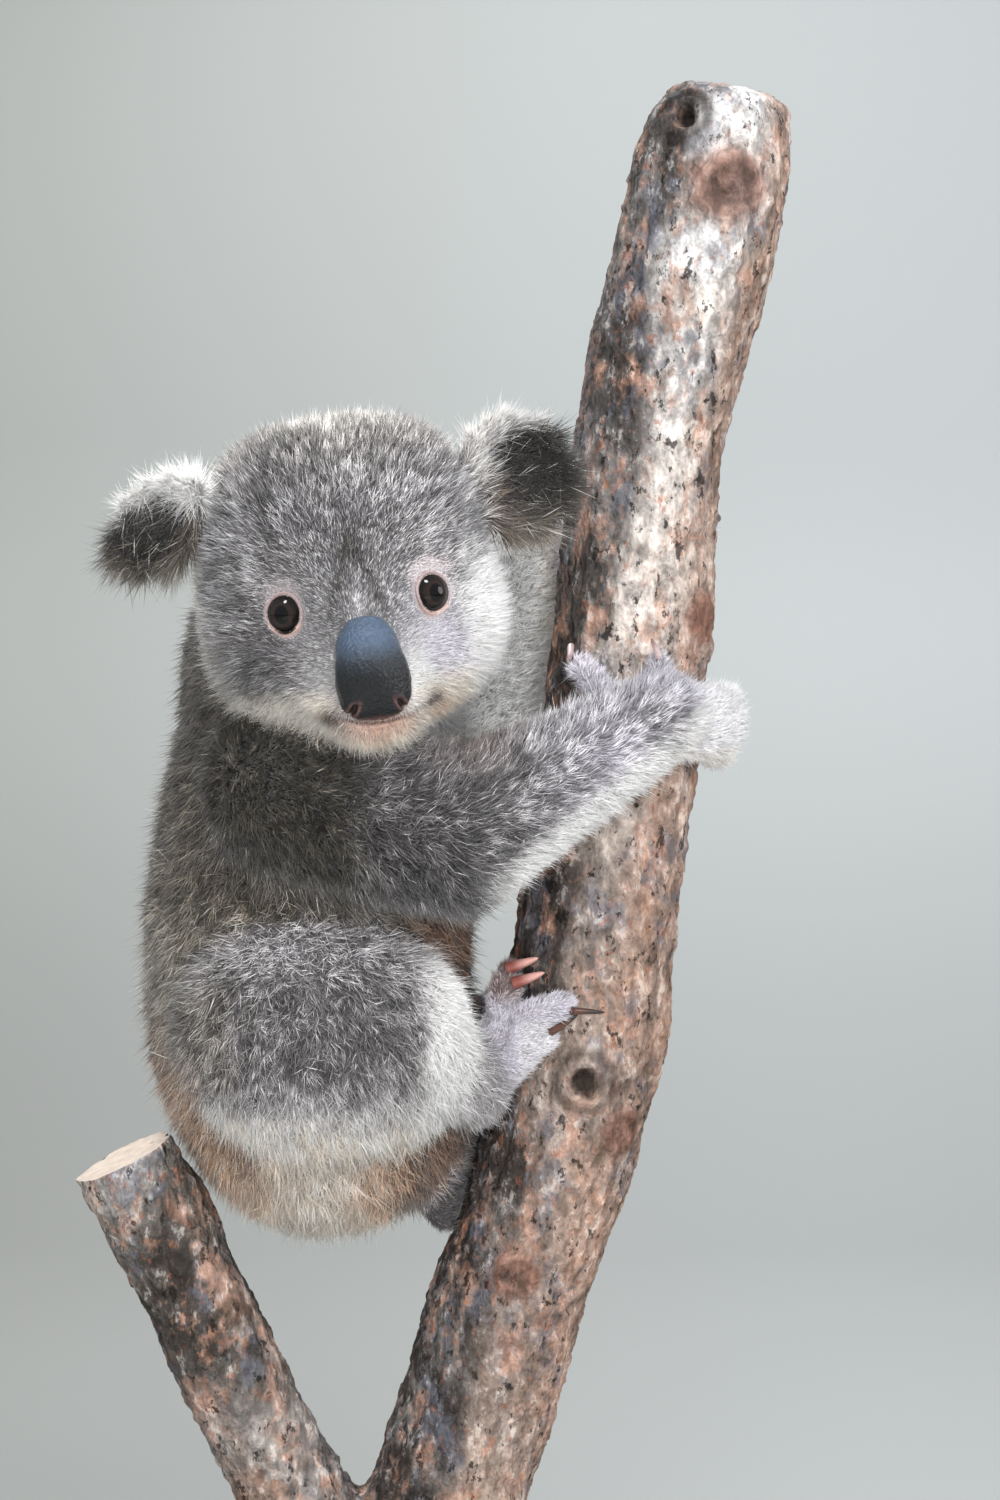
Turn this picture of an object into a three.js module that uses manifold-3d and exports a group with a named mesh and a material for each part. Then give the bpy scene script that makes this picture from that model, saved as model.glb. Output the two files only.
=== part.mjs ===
// A young koala hugging the main limb of a forked branch: a still, life-size display model.
// Millimetres, +Z up. The origin is the middle of the stand's underside. The koala faces +X with its back
// towards -X, its right side is on the -Y side, and its head is turned to look along -Y.
// Every outline is the outside of the coat, so the skin lies inside these solids by the depth of the fur.
import * as THREE from "three";
import { mergeVertices } from "three/addons/utils/BufferGeometryUtils.js";
import Module from "manifold-3d";

const wasm = await Module();
wasm.setup();

const GAP = 0.35; // clearance between neighbouring pieces
const DEG = Math.PI / 180;
const UP = new THREE.Vector3(0, 0, 1);

// ---------------------------------------------------------------- driving dimensions

// Display stand
const BASE_WIDTH = 236;
const BASE_DEPTH = 176;
const BASE_THICKNESS = 16;
const BASE_CORNER = 24;
const BASE_BEVEL = 2.5;
const ROD_RADIUS = 5;
const ROD_SPACING = 28;
const STEM_FOOT = 42; // height of the branch's sawn lower end
const ROD_LENGTH = STEM_FOOT - BASE_THICKNESS - 2 * GAP;

// Branch: the main limb rises from the stem, and the sawn-off side branch leaves it at the fork
const LIMB_RADIUS = 25.2;
const STEM_RADIUS = 31;
const STUB_RADIUS = 17.2;
const LIMB_SPINE = [
  [0, 0, STEM_FOOT], [0.5, 0, 60], [4.5, 0, 90], [21, 0, 138], [42, 0, 205], [56.6, 0, 246], [67.8, 0, 321],
  [74.9, 0, 388], [84.2, 0, 474], [100.5, 0, 541], [107.5, 0, 582],
];
const STUB_SPINE = [[2, 0, 66], [-14, -2, 100], [-44, -9, 160], [-62, -14, 200], [-84, -18, 245]];

// Head, in its own frame: +X the koala's left, -Y forwards, +Z the crown
const HEAD_CENTRE = [-10.8, -33, 425.2];
const HEAD_YAW = 6; // towards the limb
const HEAD_ROLL = 8; // the left ear up
const HEAD_PITCH = 3; // the nose down
const EYE_RADIUS = 6.9;
const EYE_SIDE = 21.4;
const EYE_FORWARD = 28.6;
const EYE_HEIGHT = -3.4;

// Trunk
const CHEST = { at: [-22, 4, 360], radii: [49, 44, 45] };
const FLANK = { at: [-25.5, 3, 322], radii: [53, 43, 50] };
const HIPS = { at: [-27, 1, 286], radii: [52, 39, 44] };
const RUMP = { at: [-20, 0, 262], radii: [48, 43, 46] };
const NAPE = { at: [-23.5, -2, 402], radii: [42, 41, 35] };
const NECK_CUT = { at: [-24, 6, 388], facing: [-0.12, -0.1, 1] };

// Limbs: joints and the radius of the furred limb there
const LEGS_AND_ARMS = {
  right: {
    shoulder: { at: [-28, -34, 363], radius: 29 },
    elbow: { at: [20, -46, 348.5], radius: 25.2 },
    wrist: { at: [86, -38.5, 385], radius: 14.4 },
    hip: { at: [-36, -27, 283], radius: 34 },
    knee: { at: [-2, -33, 286], radius: 33 },
    ankle: { at: [26.5, -26, 267], radius: 13.5 },
  },
  left: {
    shoulder: { at: [-20, 36, 366], radius: 28 },
    elbow: { at: [31, 48, 368], radius: 22.5 },
    wrist: { at: [45, 34, 431], radius: 15 },
    hip: { at: [-36, 26, 276], radius: 32 },
    knee: { at: [-4, 34, 275], radius: 31 },
    ankle: { at: [18, 22, 243], radius: 14 },
  },
};

// Colours of the living animal and the wood
const COLOURS = {
  coat: 0x77757a, pale: 0xd9d4cd, ear: 0x8c8a8a, paw: 0xb4b1b8,
  nose: 0x23272c, eye: 0x1d1512, claw: 0x3a2c25, bark: 0x83766c, stand: 0x2b2b2d, steel: 0x9a9ca0,
};

// ---------------------------------------------------------------- solids

const vec = ([x, y, z]) => new THREE.Vector3(x, y, z);

// A geometry as a bare closed mesh, with its seams and poles joined.
function welded(geometry) {
  const bare = geometry.clone();
  bare.deleteAttribute("normal");
  bare.deleteAttribute("uv");
  return mergeVertices(bare, 1e-4);
}

function solidOf(geometry) {
  const { attributes, index } = welded(geometry);
  return new wasm.Manifold(new wasm.Mesh({
    numProp: 3,
    vertProperties: new Float32Array(attributes.position.array),
    triVerts: new Uint32Array(index.array),
  }));
}

function geometryOf(solid) {
  const { vertProperties, triVerts } = solid.getMesh();
  const geometry = new THREE.BufferGeometry();
  geometry.setAttribute("position", new THREE.BufferAttribute(vertProperties, 3));
  geometry.setIndex(new THREE.BufferAttribute(triVerts, 1));
  geometry.computeVertexNormals();
  return geometry;
}

// The largest body of a solid that a cut has left in several.
function largest(solid) {
  return solid.decompose().reduce((best, body) => (body.volume() > best.volume() ? body : best));
}

const without = (solid, ...cutters) => (
  largest(cutters.reduce((rest, cutter) => rest.subtract(cutter), solid)));
const joined = (...solids) => solids.reduce((all, solid) => all.add(solid));

// A block that fills the side of a plane that the direction points to, shifted along it.
function sideOf({ at, facing }, shift = 0) {
  const size = 700;
  const direction = vec(facing).normalize();
  const block = new THREE.BoxGeometry(size, size, size);
  block.translate(0, 0, size / 2 + shift);
  block.applyQuaternion(new THREE.Quaternion().setFromUnitVectors(UP, direction));
  block.translate(...at);
  return solidOf(block);
}

// A solid parted by a thin cut: the half behind the plane, and the half in front of it.
function parted(solid, plane) {
  const behind = largest(solid.subtract(sideOf(plane, -GAP / 2)));
  const before = largest(solid.intersect(sideOf(plane, GAP / 2)));
  return [behind, before];
}

// ---------------------------------------------------------------- fields
// A field is a function of a point: negative inside the shape, and about the distance to it outside.

function ellipsoid({ at, radii, turn = [0, 0, 0] }) {
  const centre = vec(at);
  const back = new THREE.Quaternion().setFromEuler(new THREE.Euler(...turn.map((a) => a * DEG))).invert();
  const size = vec(radii);
  return (point) => {
    const local = point.clone().sub(centre).applyQuaternion(back);
    const scaled = local.clone().divide(size);
    const reach = scaled.length();
    return reach < 1e-6 ? -Math.min(...radii) : (reach * (reach - 1)) / scaled.divide(size).length();
  };
}

function bone(from, to) {
  const start = vec(from.at);
  const along = vec(to.at).sub(start);
  return (point) => {
    const local = point.clone().sub(start);
    const t = THREE.MathUtils.clamp(local.dot(along) / along.lengthSq(), 0, 1);
    return local.addScaledVector(along, -t).length() - THREE.MathUtils.lerp(from.radius, to.radius, t);
  };
}

// Several shapes run together, with a soft fillet where they meet.
function blend(softness, ...shapes) {
  return (point) => shapes.map((shape) => shape(point)).reduce((a, b) => {
    const near = Math.max(softness - Math.abs(a - b), 0) / softness;
    return Math.min(a, b) - (near * near * softness) / 4;
  });
}

// ---------------------------------------------------------------- bodies laid along a spine

const line = (...points) => (points.length === 2
  ? new THREE.LineCurve3(vec(points[0]), vec(points[1]))
  : new THREE.CatmullRomCurve3(points.map(vec)));

// Lays a template of unit radius that stands along Y along a spine. reach(origin, direction, t) gives how
// far each point stands from the spine.
function alongSpine(template, length, steps, spine, reach) {
  const frames = spine.computeFrenetFrames(steps);
  const body = welded(template);
  const { position } = body.attributes;
  const point = new THREE.Vector3();
  for (let i = 0; i < position.count; i += 1) {
    point.fromBufferAttribute(position, i);
    const onAxis = THREE.MathUtils.clamp(point.y, -length / 2, length / 2);
    const t = onAxis / length + 0.5;
    const k = Math.round(t * steps);
    const direction = new THREE.Vector3()
      .addScaledVector(frames.normals[k], point.x)
      .addScaledVector(frames.tangents[k], point.y - onAxis)
      .addScaledVector(frames.binormals[k], -point.z);
    const origin = spine.getPointAt(t);
    if (direction.lengthSq() > 1e-9) {
      origin.addScaledVector(direction, reach(origin, direction.clone().normalize(), t));
    }
    position.setXYZ(i, ...origin);
  }
  return solidOf(body);
}

// A round-ended body whose surface is where its field crosses zero, or lies grow outside it.
function flesh(spine, field, { sides, steps, caps, grow = 0 }) {
  const farthest = 90;
  const stride = 2;
  const reach = (origin, direction) => {
    const at = (distance) => field(origin.clone().addScaledVector(direction, distance)) - grow;
    let outside = stride;
    while (at(outside) < 0 && outside < farthest) outside += stride;
    let inside = outside - stride;
    for (let i = 0; i < 14; i += 1) {
      const middle = (inside + outside) / 2;
      if (at(middle) < 0) inside = middle;
      else outside = middle;
    }
    return outside;
  };
  return alongSpine(new THREE.CapsuleGeometry(1, 2, caps, sides, steps), 2, steps, spine, reach);
}

// A round-ended rod whose radius runs evenly through the given ones. Flatness under 1 makes it a strap.
function finger(points, radii, { sides, steps, caps, grow = 0, facing = null, flatness = 1 }) {
  const outwards = facing && vec(facing).normalize();
  const reach = (origin, direction, t) => {
    const place = t * (radii.length - 1);
    const i = Math.min(Math.floor(place), radii.length - 2);
    const radius = THREE.MathUtils.lerp(radii[i], radii[i + 1], place - i);
    const squash = outwards ? THREE.MathUtils.lerp(1, flatness, direction.dot(outwards) ** 2) : 1;
    return radius * squash + grow;
  };
  return alongSpine(new THREE.CapsuleGeometry(1, 2, caps, sides, steps), 2, steps, line(...points), reach);
}

// A sawn log: flat at both ends, with its radius from radiusAt(t, angle).
function log(spine, radiusAt, { sides, steps, grow = 0 }) {
  const reach = (origin, direction, t) => radiusAt(t, Math.atan2(direction.x, -direction.y)) + grow;
  const template = new THREE.CylinderGeometry(1, 1, 2, sides, steps);
  const position = template.attributes.position;
  for (let i = 0; i < position.count; i += 1) {
    const middle = Math.hypot(position.getX(i), position.getZ(i)) < 0.5;
    if (middle) position.setXYZ(i, 0, position.getY(i), 0);
  }
  return alongSpine(template, 2, steps, spine, reach);
}

// ---------------------------------------------------------------- branch

const limbSpine = line(...LIMB_SPINE);
const stubSpine = line(...STUB_SPINE);

const bump = (x, at, width) => Math.exp(-(((x - at) / width) ** 2));
const angleGap = (a, b) => Math.atan2(Math.sin(a - b), Math.cos(a - b));

// Swellings round the knots: place along the limb, angle from the front towards +X, height and size
const LIMB_KNOTS = [
  { t: 0.475, angle: -4, height: 2.6, length: 0.022, width: 30 },
  { t: 0.905, angle: 24, height: 3.2, length: 0.03, width: 30 },
  { t: 0.455, angle: 92, height: 3, length: 0.02, width: 28 },
  { t: 0.64, angle: 160, height: 3, length: 0.03, width: 40 },
  { t: 0.27, angle: -70, height: 2.2, length: 0.03, width: 40 },
];

// The worn upper end is rounded over within the last stretch of the limb.
const LIMB_CROWN = 0.022;

function limbRadius(t, angle) {
  const flare = (STEM_RADIUS - LIMB_RADIUS) * (1 - THREE.MathUtils.smoothstep(t, 0.02, 0.24));
  const waves = (Math.sin(2 * angle + 9 * t) + Math.sin(3 * angle - 14 * t) + Math.sin(31 * t)) * 0.45;
  const knots = LIMB_KNOTS.reduce((sum, { t: at, angle: facing, height, length, width }) => (
    sum + height * bump(t, at, length) * bump(angleGap(angle, facing * DEG), 0, width * DEG)), 0);
  const past = Math.max(0, (t - 1 + LIMB_CROWN) / LIMB_CROWN);
  return (LIMB_RADIUS + flare + waves + knots) * (1 - 0.2 * past * past);
}

function stubRadius(t, angle) {
  const root = 7 * (1 - THREE.MathUtils.smoothstep(t, 0.05, 0.42));
  const collar = 1.5 * bump(t, 0.42, 0.05) * bump(angleGap(angle, -90 * DEG), 0, 40 * DEG);
  return STUB_RADIUS + root + collar + 0.5 * Math.sin(2 * angle + 11 * t) + 0.4 * Math.sin(23 * t);
}

const limbShape = { sides: 13, steps: 24 };
const sawnEnd = sideOf({ at: [0, 0, STEM_FOOT], facing: [0, 0, -1] });
const limb = without(log(limbSpine, limbRadius, limbShape), sawnEnd);
const limbGrown = log(limbSpine, limbRadius, { ...limbShape, grow: GAP });
const stub = without(log(stubSpine, stubRadius, { sides: 11, steps: 8 }), limbGrown);

// A point beside the limb at a height, at an angle round it from the front towards +X, this far off the bark.
function onLimb(height, angle, off) {
  let [low, high] = [0, 1];
  for (let i = 0; i < 24; i += 1) {
    const middle = (low + high) / 2;
    if (limbSpine.getPointAt(middle).z < height) low = middle;
    else high = middle;
  }
  const axis = limbSpine.getPointAt(low);
  const radius = limbRadius(low, angle * DEG) + off;
  return [axis.x + radius * Math.sin(angle * DEG), axis.y - radius * Math.cos(angle * DEG), height];
}

// ---------------------------------------------------------------- head

const headTurn = new THREE.Euler(HEAD_PITCH * DEG, -HEAD_ROLL * DEG, HEAD_YAW * DEG, "YZX");
const headPlace = new THREE.Matrix4().makeRotationFromEuler(headTurn).setPosition(vec(HEAD_CENTRE));
const headBack = headPlace.clone().invert();
const inHead = (shape) => (point) => shape(point.clone().applyMatrix4(headBack));
const fromHead = (point) => vec(point).applyMatrix4(headPlace).toArray();

const skull = blend(
  14,
  ellipsoid({ at: [12.5, 7, 14], radii: [33.5, 42, 37] }),
  ellipsoid({ at: [-12.5, 7, 14], radii: [33.5, 42, 37] }),
  ellipsoid({ at: [22, -4, -14], radii: [24, 28, 25] }),
  ellipsoid({ at: [-22, -4, -14], radii: [24, 28, 25] }),
  ellipsoid({ at: [0, -10, -26], radii: [27, 27, 22] }),
);
const muzzle = blend(
  9,
  skull,
  ellipsoid({ at: [0, -34, -14], radii: [12.5, 17, 20], turn: [16, 0, 0] }),
  ellipsoid({ at: [8, -36, -29], radii: [11.5, 16, 11.5] }),
  ellipsoid({ at: [-8, -36, -29], radii: [11.5, 16, 11.5] }),
  ellipsoid({ at: [0, -33, -38], radii: [11.5, 13, 8.5] }),
);
const headField = inHead(muzzle);
const headSpine = line(fromHead([0, 2, -6]), fromHead([0, 2, 10]));
const headShape = { sides: 20, steps: 2, caps: 6 };

const eyes = Object.fromEntries([["left", 1], ["right", -1]].map(([side, sign]) => {
  const centre = fromHead([sign * EYE_SIDE, -EYE_FORWARD, EYE_HEIGHT]);
  const ball = (grow) => solidOf(new THREE.SphereGeometry(EYE_RADIUS + grow, 10, 8).translate(...centre));
  return [side, { ball: ball(0), socket: ball(GAP) }];
}));

// The bare nose pad stands from between the eyes down to the lip, widest at the nostrils.
const noseField = (grow) => inHead(blend(
  4,
  ellipsoid({ at: [0, -44.9, -15.6], radii: [9.2 + grow, 9 + grow, 9.7 + grow], turn: [18, 0, 0] }),
  ellipsoid({ at: [0, -50, -24], radii: [11.2 + grow, 9.5 + grow, 10.5 + grow], turn: [10, 0, 0] }),
  ellipsoid({ at: [4.6, -49.2, -30.5], radii: [5.6 + grow, 6.8 + grow, 6 + grow] }),
  ellipsoid({ at: [-4.6, -49.2, -30.5], radii: [5.6 + grow, 6.8 + grow, 6 + grow] }),
));
const noseSpine = line(fromHead([0, -46, -17]), fromHead([0, -49, -26]));
const noseShape = { sides: 14, steps: 2, caps: 3 };
const nose = flesh(noseSpine, noseField(0), noseShape);
const noseGrown = flesh(noseSpine, noseField(GAP), noseShape);

const head = without(flesh(headSpine, headField, headShape), noseGrown, eyes.left.socket, eyes.right.socket);
const headGrown = flesh(headSpine, headField, { ...headShape, grow: GAP });

// Each ear is a thick cup with its hollow turned forwards and outwards. The right one is laid back, so that
// it shows as a slanted oval.
const EARS = {
  left: { at: [55.5, -1, 28], outwards: 3, slant: 0, size: [25, 10.5, 24.5] },
  right: { at: [-56, 5, 26], outwards: -20, slant: -36, size: [24.5, 10.5, 16.5] },
};

function ear(side) {
  const { at, outwards, slant, size } = EARS[side];
  const turn = new THREE.Euler(-6 * DEG, Math.sign(outwards) * 6 * DEG, outwards * DEG);
  const place = (geometry) => solidOf(geometry
    .rotateY(slant * DEG)
    .applyQuaternion(new THREE.Quaternion().setFromEuler(turn))
    .translate(...at)
    .applyMatrix4(headPlace));
  const [width, depth, height] = size;
  const disc = place(new THREE.SphereGeometry(1, 12, 8).scale(width, depth, height));
  const hollow = place(new THREE.SphereGeometry(1, 10, 7)
    .scale(0.63 * width, 0.86 * depth, 0.67 * height)
    .translate(0, -0.9 * depth, -0.04 * height));
  return without(disc, hollow, headGrown, limbGrown);
}

// ---------------------------------------------------------------- trunk and neck

const trunkField = blend(16, ...[CHEST, FLANK, HIPS, RUMP, NAPE].map(ellipsoid));
const trunkSpine = line([-20, 2, 262], [-26, 2, 300], [-25, 4, 350], [-24, 1, 400]);
const trunkShape = { sides: 18, steps: 7, caps: 4 };
const trunkGrown = flesh(trunkSpine, trunkField, { ...trunkShape, grow: GAP });
const [trunk, neck] = parted(without(flesh(trunkSpine, trunkField, trunkShape), headGrown), NECK_CUT);
const torsoGrown = headGrown.add(trunkGrown);

// ---------------------------------------------------------------- hands and feet

// A claw hooks from the end of a digit into the bark.
const CLAW_RADII = [1.7, 1.45, 0.6];
const DIGIT_TAPER = 0.9;

// A digit runs over the bark from its root to its tip, each given as height and angle. Its claw goes on from
// there for its length, straight on or towards a place of its own.
function digit({ root, tip, radius, clawed = true, clawLength = 6.5, towards }, grow) {
  const rest = GAP + 0.3;
  const mid = root.map((value, i) => (value + tip[i]) / 2);
  const end = radius * DIGIT_TAPER;
  const points = [
    onLimb(...root, radius + rest), onLimb(...mid, radius + rest + 1), onLimb(...tip, end + rest),
  ];
  const flesher = finger(points, [radius, radius, end], { sides: 6, steps: 2, caps: 2, grow });
  if (!clawed) return { flesher };
  const [rise, turn] = towards ? [towards[0] - tip[0], towards[1] - tip[1]] : [tip[0] - root[0], tip[1] - root[1]];
  const length = Math.hypot(rise, turn * DEG * LIMB_RADIUS);
  const onwards = (distance, off) => (
    onLimb(tip[0] + (rise * distance) / length, tip[1] + (turn * distance) / length, off));
  const hook = [
    onwards(end - 1, end + 1.5), onwards(end + 0.54 * clawLength, end + 1),
    onwards(end + clawLength, CLAW_RADII[2] + rest),
  ];
  return { flesher, horn: finger(hook, CLAW_RADII, { sides: 4, steps: 2, caps: 1 }) };
}

// A paw is its pad and digits in one piece, resting on the bark.
function paw({ points, angle, radii, flatness }, digits) {
  const build = (grow) => {
    const facing = outFrom(angle);
    const pad = finger(points, radii, { sides: 9, steps: 3, caps: 2, grow, facing, flatness });
    return joined(pad, ...digits.map((each) => digit(each, grow).flesher));
  };
  const grown = build(GAP);
  const horns = digits.filter(({ clawed = true }) => clawed).map((each) => digit(each, 0).horn);
  return { body: without(build(0), limbGrown), grown, claws: horns.map((horn) => without(horn, grown)) };
}

const outFrom = (angle) => [Math.sin(angle * DEG), -Math.cos(angle * DEG), 0];

const paws = {
  // Two thumbs up the front of the limb, three fingers round its far side
  right_hand: paw({
    points: [onLimb(383, 18, 7), onLimb(382.5, 42, 7), onLimb(381, 66, 6.5)],
    angle: 42, radii: [12, 13, 11.5], flatness: 0.6,
  }, [
    { root: [386, 0], tip: [399.5, -29], radius: 5.2, clawLength: 4 },
    { root: [388, 22], tip: [400, 17], radius: 5.2, clawLength: 4 },
    { root: [388, 62], tip: [388, 93], radius: 5.6 },
    { root: [381, 66], tip: [379.5, 101], radius: 5.8 },
    { root: [373.5, 62], tip: [371, 92], radius: 5.4 },
  ]),
  // The same grip on the limb's hidden side, a little higher
  left_hand: paw({
    points: [onLimb(432, -150, 7), onLimb(438, -170, 7), onLimb(443, -190, 6.5)],
    angle: -170, radii: [12, 15.5, 12], flatness: 0.52,
  }, [
    { root: [439, -156], tip: [455, -138], radius: 5 },
    { root: [443, -168], tip: [460, -160], radius: 5 },
    { root: [449, -186], tip: [456, -216], radius: 5.6 },
    { root: [442, -192], tip: [445, -224], radius: 5.8 },
    { root: [434, -188], tip: [433, -218], radius: 5.4 },
  ]),
  // A clawless big toe, the joined second and third toes with their pair of small claws, and two strong toes
  right_foot: paw({
    points: [onLimb(264, -80, 9), onLimb(273, -62, 8.5), onLimb(281, -44, 7)],
    angle: -62, radii: [13.5, 13.5, 11.5], flatness: 0.64,
  }, [
    { root: [276, -82], tip: [289, -98], radius: 5.8, clawed: false },
    { root: [285, -59], tip: [298.5, -54], radius: 4.9, towards: [304, -32] },
    { root: [288, -65], tip: [303, -61], radius: 4.7, towards: [308.5, -38] },
    { root: [288, -40], tip: [294, -17], radius: 5.8, towards: [292, 3] },
    { root: [280, -44], tip: [283, -26], radius: 6, towards: [289, -12], clawLength: 5.5 },
  ]),
  left_foot: paw({
    points: [onLimb(231, -90, 9), onLimb(240, -112, 8.5), onLimb(250, -134, 7)],
    angle: -112, radii: [13.5, 15, 12], flatness: 0.62,
  }, [
    { root: [231, -93], tip: [222, -79], radius: 6, clawed: false },
    { root: [253, -118], tip: [266, -128], radius: 5 },
    { root: [250, -110], tip: [267, -119], radius: 4.6 },
    { root: [254, -136], tip: [259, -158], radius: 5.9 },
    { root: [246, -138], tip: [247, -160], radius: 5.9 },
  ]),
};

// ---------------------------------------------------------------- arms and legs

// A furred arm from shoulder to wrist, parted at the elbow.
function arm({ shoulder, elbow, wrist }, hand, elbowCut) {
  const field = blend(10, bone(shoulder, elbow), bone(elbow, wrist));
  const spine = line(shoulder.at, elbow.at, wrist.at);
  const shape = { sides: 12, steps: 7, caps: 3 };
  const whole = without(flesh(spine, field, shape), torsoGrown, limbGrown, hand.grown);
  const [upper, lower] = parted(whole, elbowCut);
  return { upper, lower, grown: flesh(spine, field, { ...shape, grow: GAP }) };
}

const arms = {
  right: arm(LEGS_AND_ARMS.right, paws.right_hand, { at: [22, -46, 348], facing: [0.93, 0.05, 0.36] }),
  left: arm(LEGS_AND_ARMS.left, paws.left_hand, { at: [29, 48, 369], facing: [0.77, 0, 0.64] }),
};

const THIGHS = {
  right: { at: [-19.5, -33, 284], radii: [48, 31, 41], turn: [0, 12, 0] },
  left: { at: [-20, 32, 274], radii: [44, 30, 40], turn: [0, 18, 0] },
};

// The thigh is a ball of muscle and fur against the flank; the shin comes out under its front edge.
function leg(side) {
  const { hip, knee, ankle } = LEGS_AND_ARMS[side];
  const thighSpine = line(hip.at, knee.at);
  const thighField = ellipsoid(THIGHS[side]);
  const thighShape = { sides: 14, steps: 2, caps: 4 };
  const thigh = without(flesh(thighSpine, thighField, thighShape), trunkGrown, limbGrown, arms[side].grown);
  const thighGrown = flesh(thighSpine, thighField, { ...thighShape, grow: GAP });
  const shinField = bone({ at: knee.at, radius: 21 }, ankle);
  const wholeShin = flesh(line(knee.at, ankle.at), shinField, { sides: 12, steps: 2, caps: 2 });
  const foot = paws[`${side}_foot`];
  return {
    thigh,
    shin: without(wholeShin, thighGrown, trunkGrown, limbGrown, foot.grown),
    foot: { ...foot, body: without(foot.body, thighGrown, trunkGrown) },
  };
}

const legs = { right: leg("right"), left: leg("left") };

// ---------------------------------------------------------------- stand

function standBase() {
  const [w, d] = [BASE_WIDTH / 2 - BASE_BEVEL, BASE_DEPTH / 2 - BASE_BEVEL];
  const r = BASE_CORNER - BASE_BEVEL;
  const outline = new THREE.Shape();
  outline.moveTo(-w + r, -d);
  outline.lineTo(w - r, -d).absarc(w - r, -d + r, r, -90 * DEG, 0, false);
  outline.lineTo(w, d - r).absarc(w - r, d - r, r, 0, 90 * DEG, false);
  outline.lineTo(-w + r, d).absarc(-w + r, d - r, r, 90 * DEG, 180 * DEG, false);
  outline.lineTo(-w, -d + r).absarc(-w + r, -d + r, r, 180 * DEG, 270 * DEG, false);
  const slab = new THREE.ExtrudeGeometry(outline, {
    depth: BASE_THICKNESS - 2 * BASE_BEVEL,
    bevelThickness: BASE_BEVEL,
    bevelSize: BASE_BEVEL,
    bevelSegments: 1,
    curveSegments: 3,
  });
  return solidOf(slab.translate(0, 0, BASE_BEVEL));
}

function standRod() {
  const rod = new THREE.CylinderGeometry(ROD_RADIUS, ROD_RADIUS, ROD_LENGTH, 16);
  return solidOf(rod.rotateX(90 * DEG));
}

// ---------------------------------------------------------------- the model

function piece(name, solid, colour, roughness = 0.9, metalness = 0) {
  const material = new THREE.MeshStandardMaterial({ color: colour, roughness, metalness });
  const mesh = new THREE.Mesh(geometryOf(solid), material);
  mesh.name = name;
  return mesh;
}

function koala() {
  const group = new THREE.Group();
  group.add(piece("trunk", trunk, COLOURS.coat));
  group.add(piece("neck", neck, COLOURS.coat));
  group.add(piece("head", head, COLOURS.coat));
  group.add(piece("nose", nose, COLOURS.nose, 0.5));
  for (const side of ["left", "right"]) {
    group.add(piece(`eye_${side}`, eyes[side].ball, COLOURS.eye, 0.08));
    group.add(piece(`ear_${side}`, ear(side), COLOURS.ear));
    group.add(piece(`upper_arm_${side}`, arms[side].upper, COLOURS.coat));
    group.add(piece(`forearm_${side}`, arms[side].lower, COLOURS.coat));
    group.add(piece(`thigh_${side}`, legs[side].thigh, COLOURS.coat));
    group.add(piece(`shin_${side}`, legs[side].shin, COLOURS.pale));
    for (const [kind, { body, claws }] of [["hand", paws[`${side}_hand`]], ["foot", legs[side].foot]]) {
      group.add(piece(`${kind}_${side}`, body, COLOURS.paw));
      claws.forEach((horn, i) => group.add(piece(`claw_${kind}_${side}_${i + 1}`, horn, COLOURS.claw, 0.35)));
    }
  }
  return group;
}

function perch() {
  const group = new THREE.Group();
  group.add(piece("perch_limb", limb, COLOURS.bark));
  group.add(piece("perch_stub", stub, COLOURS.bark));
  return group;
}

function stand() {
  const group = new THREE.Group();
  group.add(piece("stand_base", standBase(), COLOURS.stand, 0.5));
  for (const [side, sign] of [["left", -1], ["right", 1]]) {
    const rod = piece(`stand_rod_${side}`, standRod(), COLOURS.steel, 0.3, 1);
    rod.position.set((sign * ROD_SPACING) / 2, 0, BASE_THICKNESS + GAP + ROD_LENGTH / 2);
    group.add(rod);
  }
  return group;
}

const model = new THREE.Group();
model.add(koala(), perch(), stand());

export default model;
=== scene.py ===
"""A young koala hugging the main limb of a forked branch, on a plain display stand.

The koala's skin is cast over the frame's solids of flesh, drawn in by the depth of the coat, and given lids
and lips. The coat is a mesh of thin closed tufts rooted in the skin, combed the way the fur lies.
"""
import itertools
import math

import bmesh
import bpy
import numpy as np
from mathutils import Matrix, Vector
from mathutils.bvhtree import BVHTree


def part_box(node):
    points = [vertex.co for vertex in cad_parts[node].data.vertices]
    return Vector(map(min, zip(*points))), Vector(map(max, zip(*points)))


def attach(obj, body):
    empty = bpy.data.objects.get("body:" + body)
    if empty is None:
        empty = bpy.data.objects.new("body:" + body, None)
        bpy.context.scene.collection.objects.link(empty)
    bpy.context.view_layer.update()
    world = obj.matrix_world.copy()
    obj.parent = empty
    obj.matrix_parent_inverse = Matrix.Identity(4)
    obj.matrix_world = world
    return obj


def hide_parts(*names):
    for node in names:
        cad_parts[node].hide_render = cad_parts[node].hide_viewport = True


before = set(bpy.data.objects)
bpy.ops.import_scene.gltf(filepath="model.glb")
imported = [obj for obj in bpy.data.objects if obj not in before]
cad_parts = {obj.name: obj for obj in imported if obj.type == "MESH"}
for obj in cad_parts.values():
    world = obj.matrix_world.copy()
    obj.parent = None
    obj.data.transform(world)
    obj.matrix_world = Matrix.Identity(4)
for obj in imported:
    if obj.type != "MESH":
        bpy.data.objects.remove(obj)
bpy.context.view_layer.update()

MM = 0.001
SIDES = {"left": 1, "right": -1}  # and which way each is along x in the head's frame
scene = bpy.context.scene


# ---------------------------------------------------------------- colours

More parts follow.
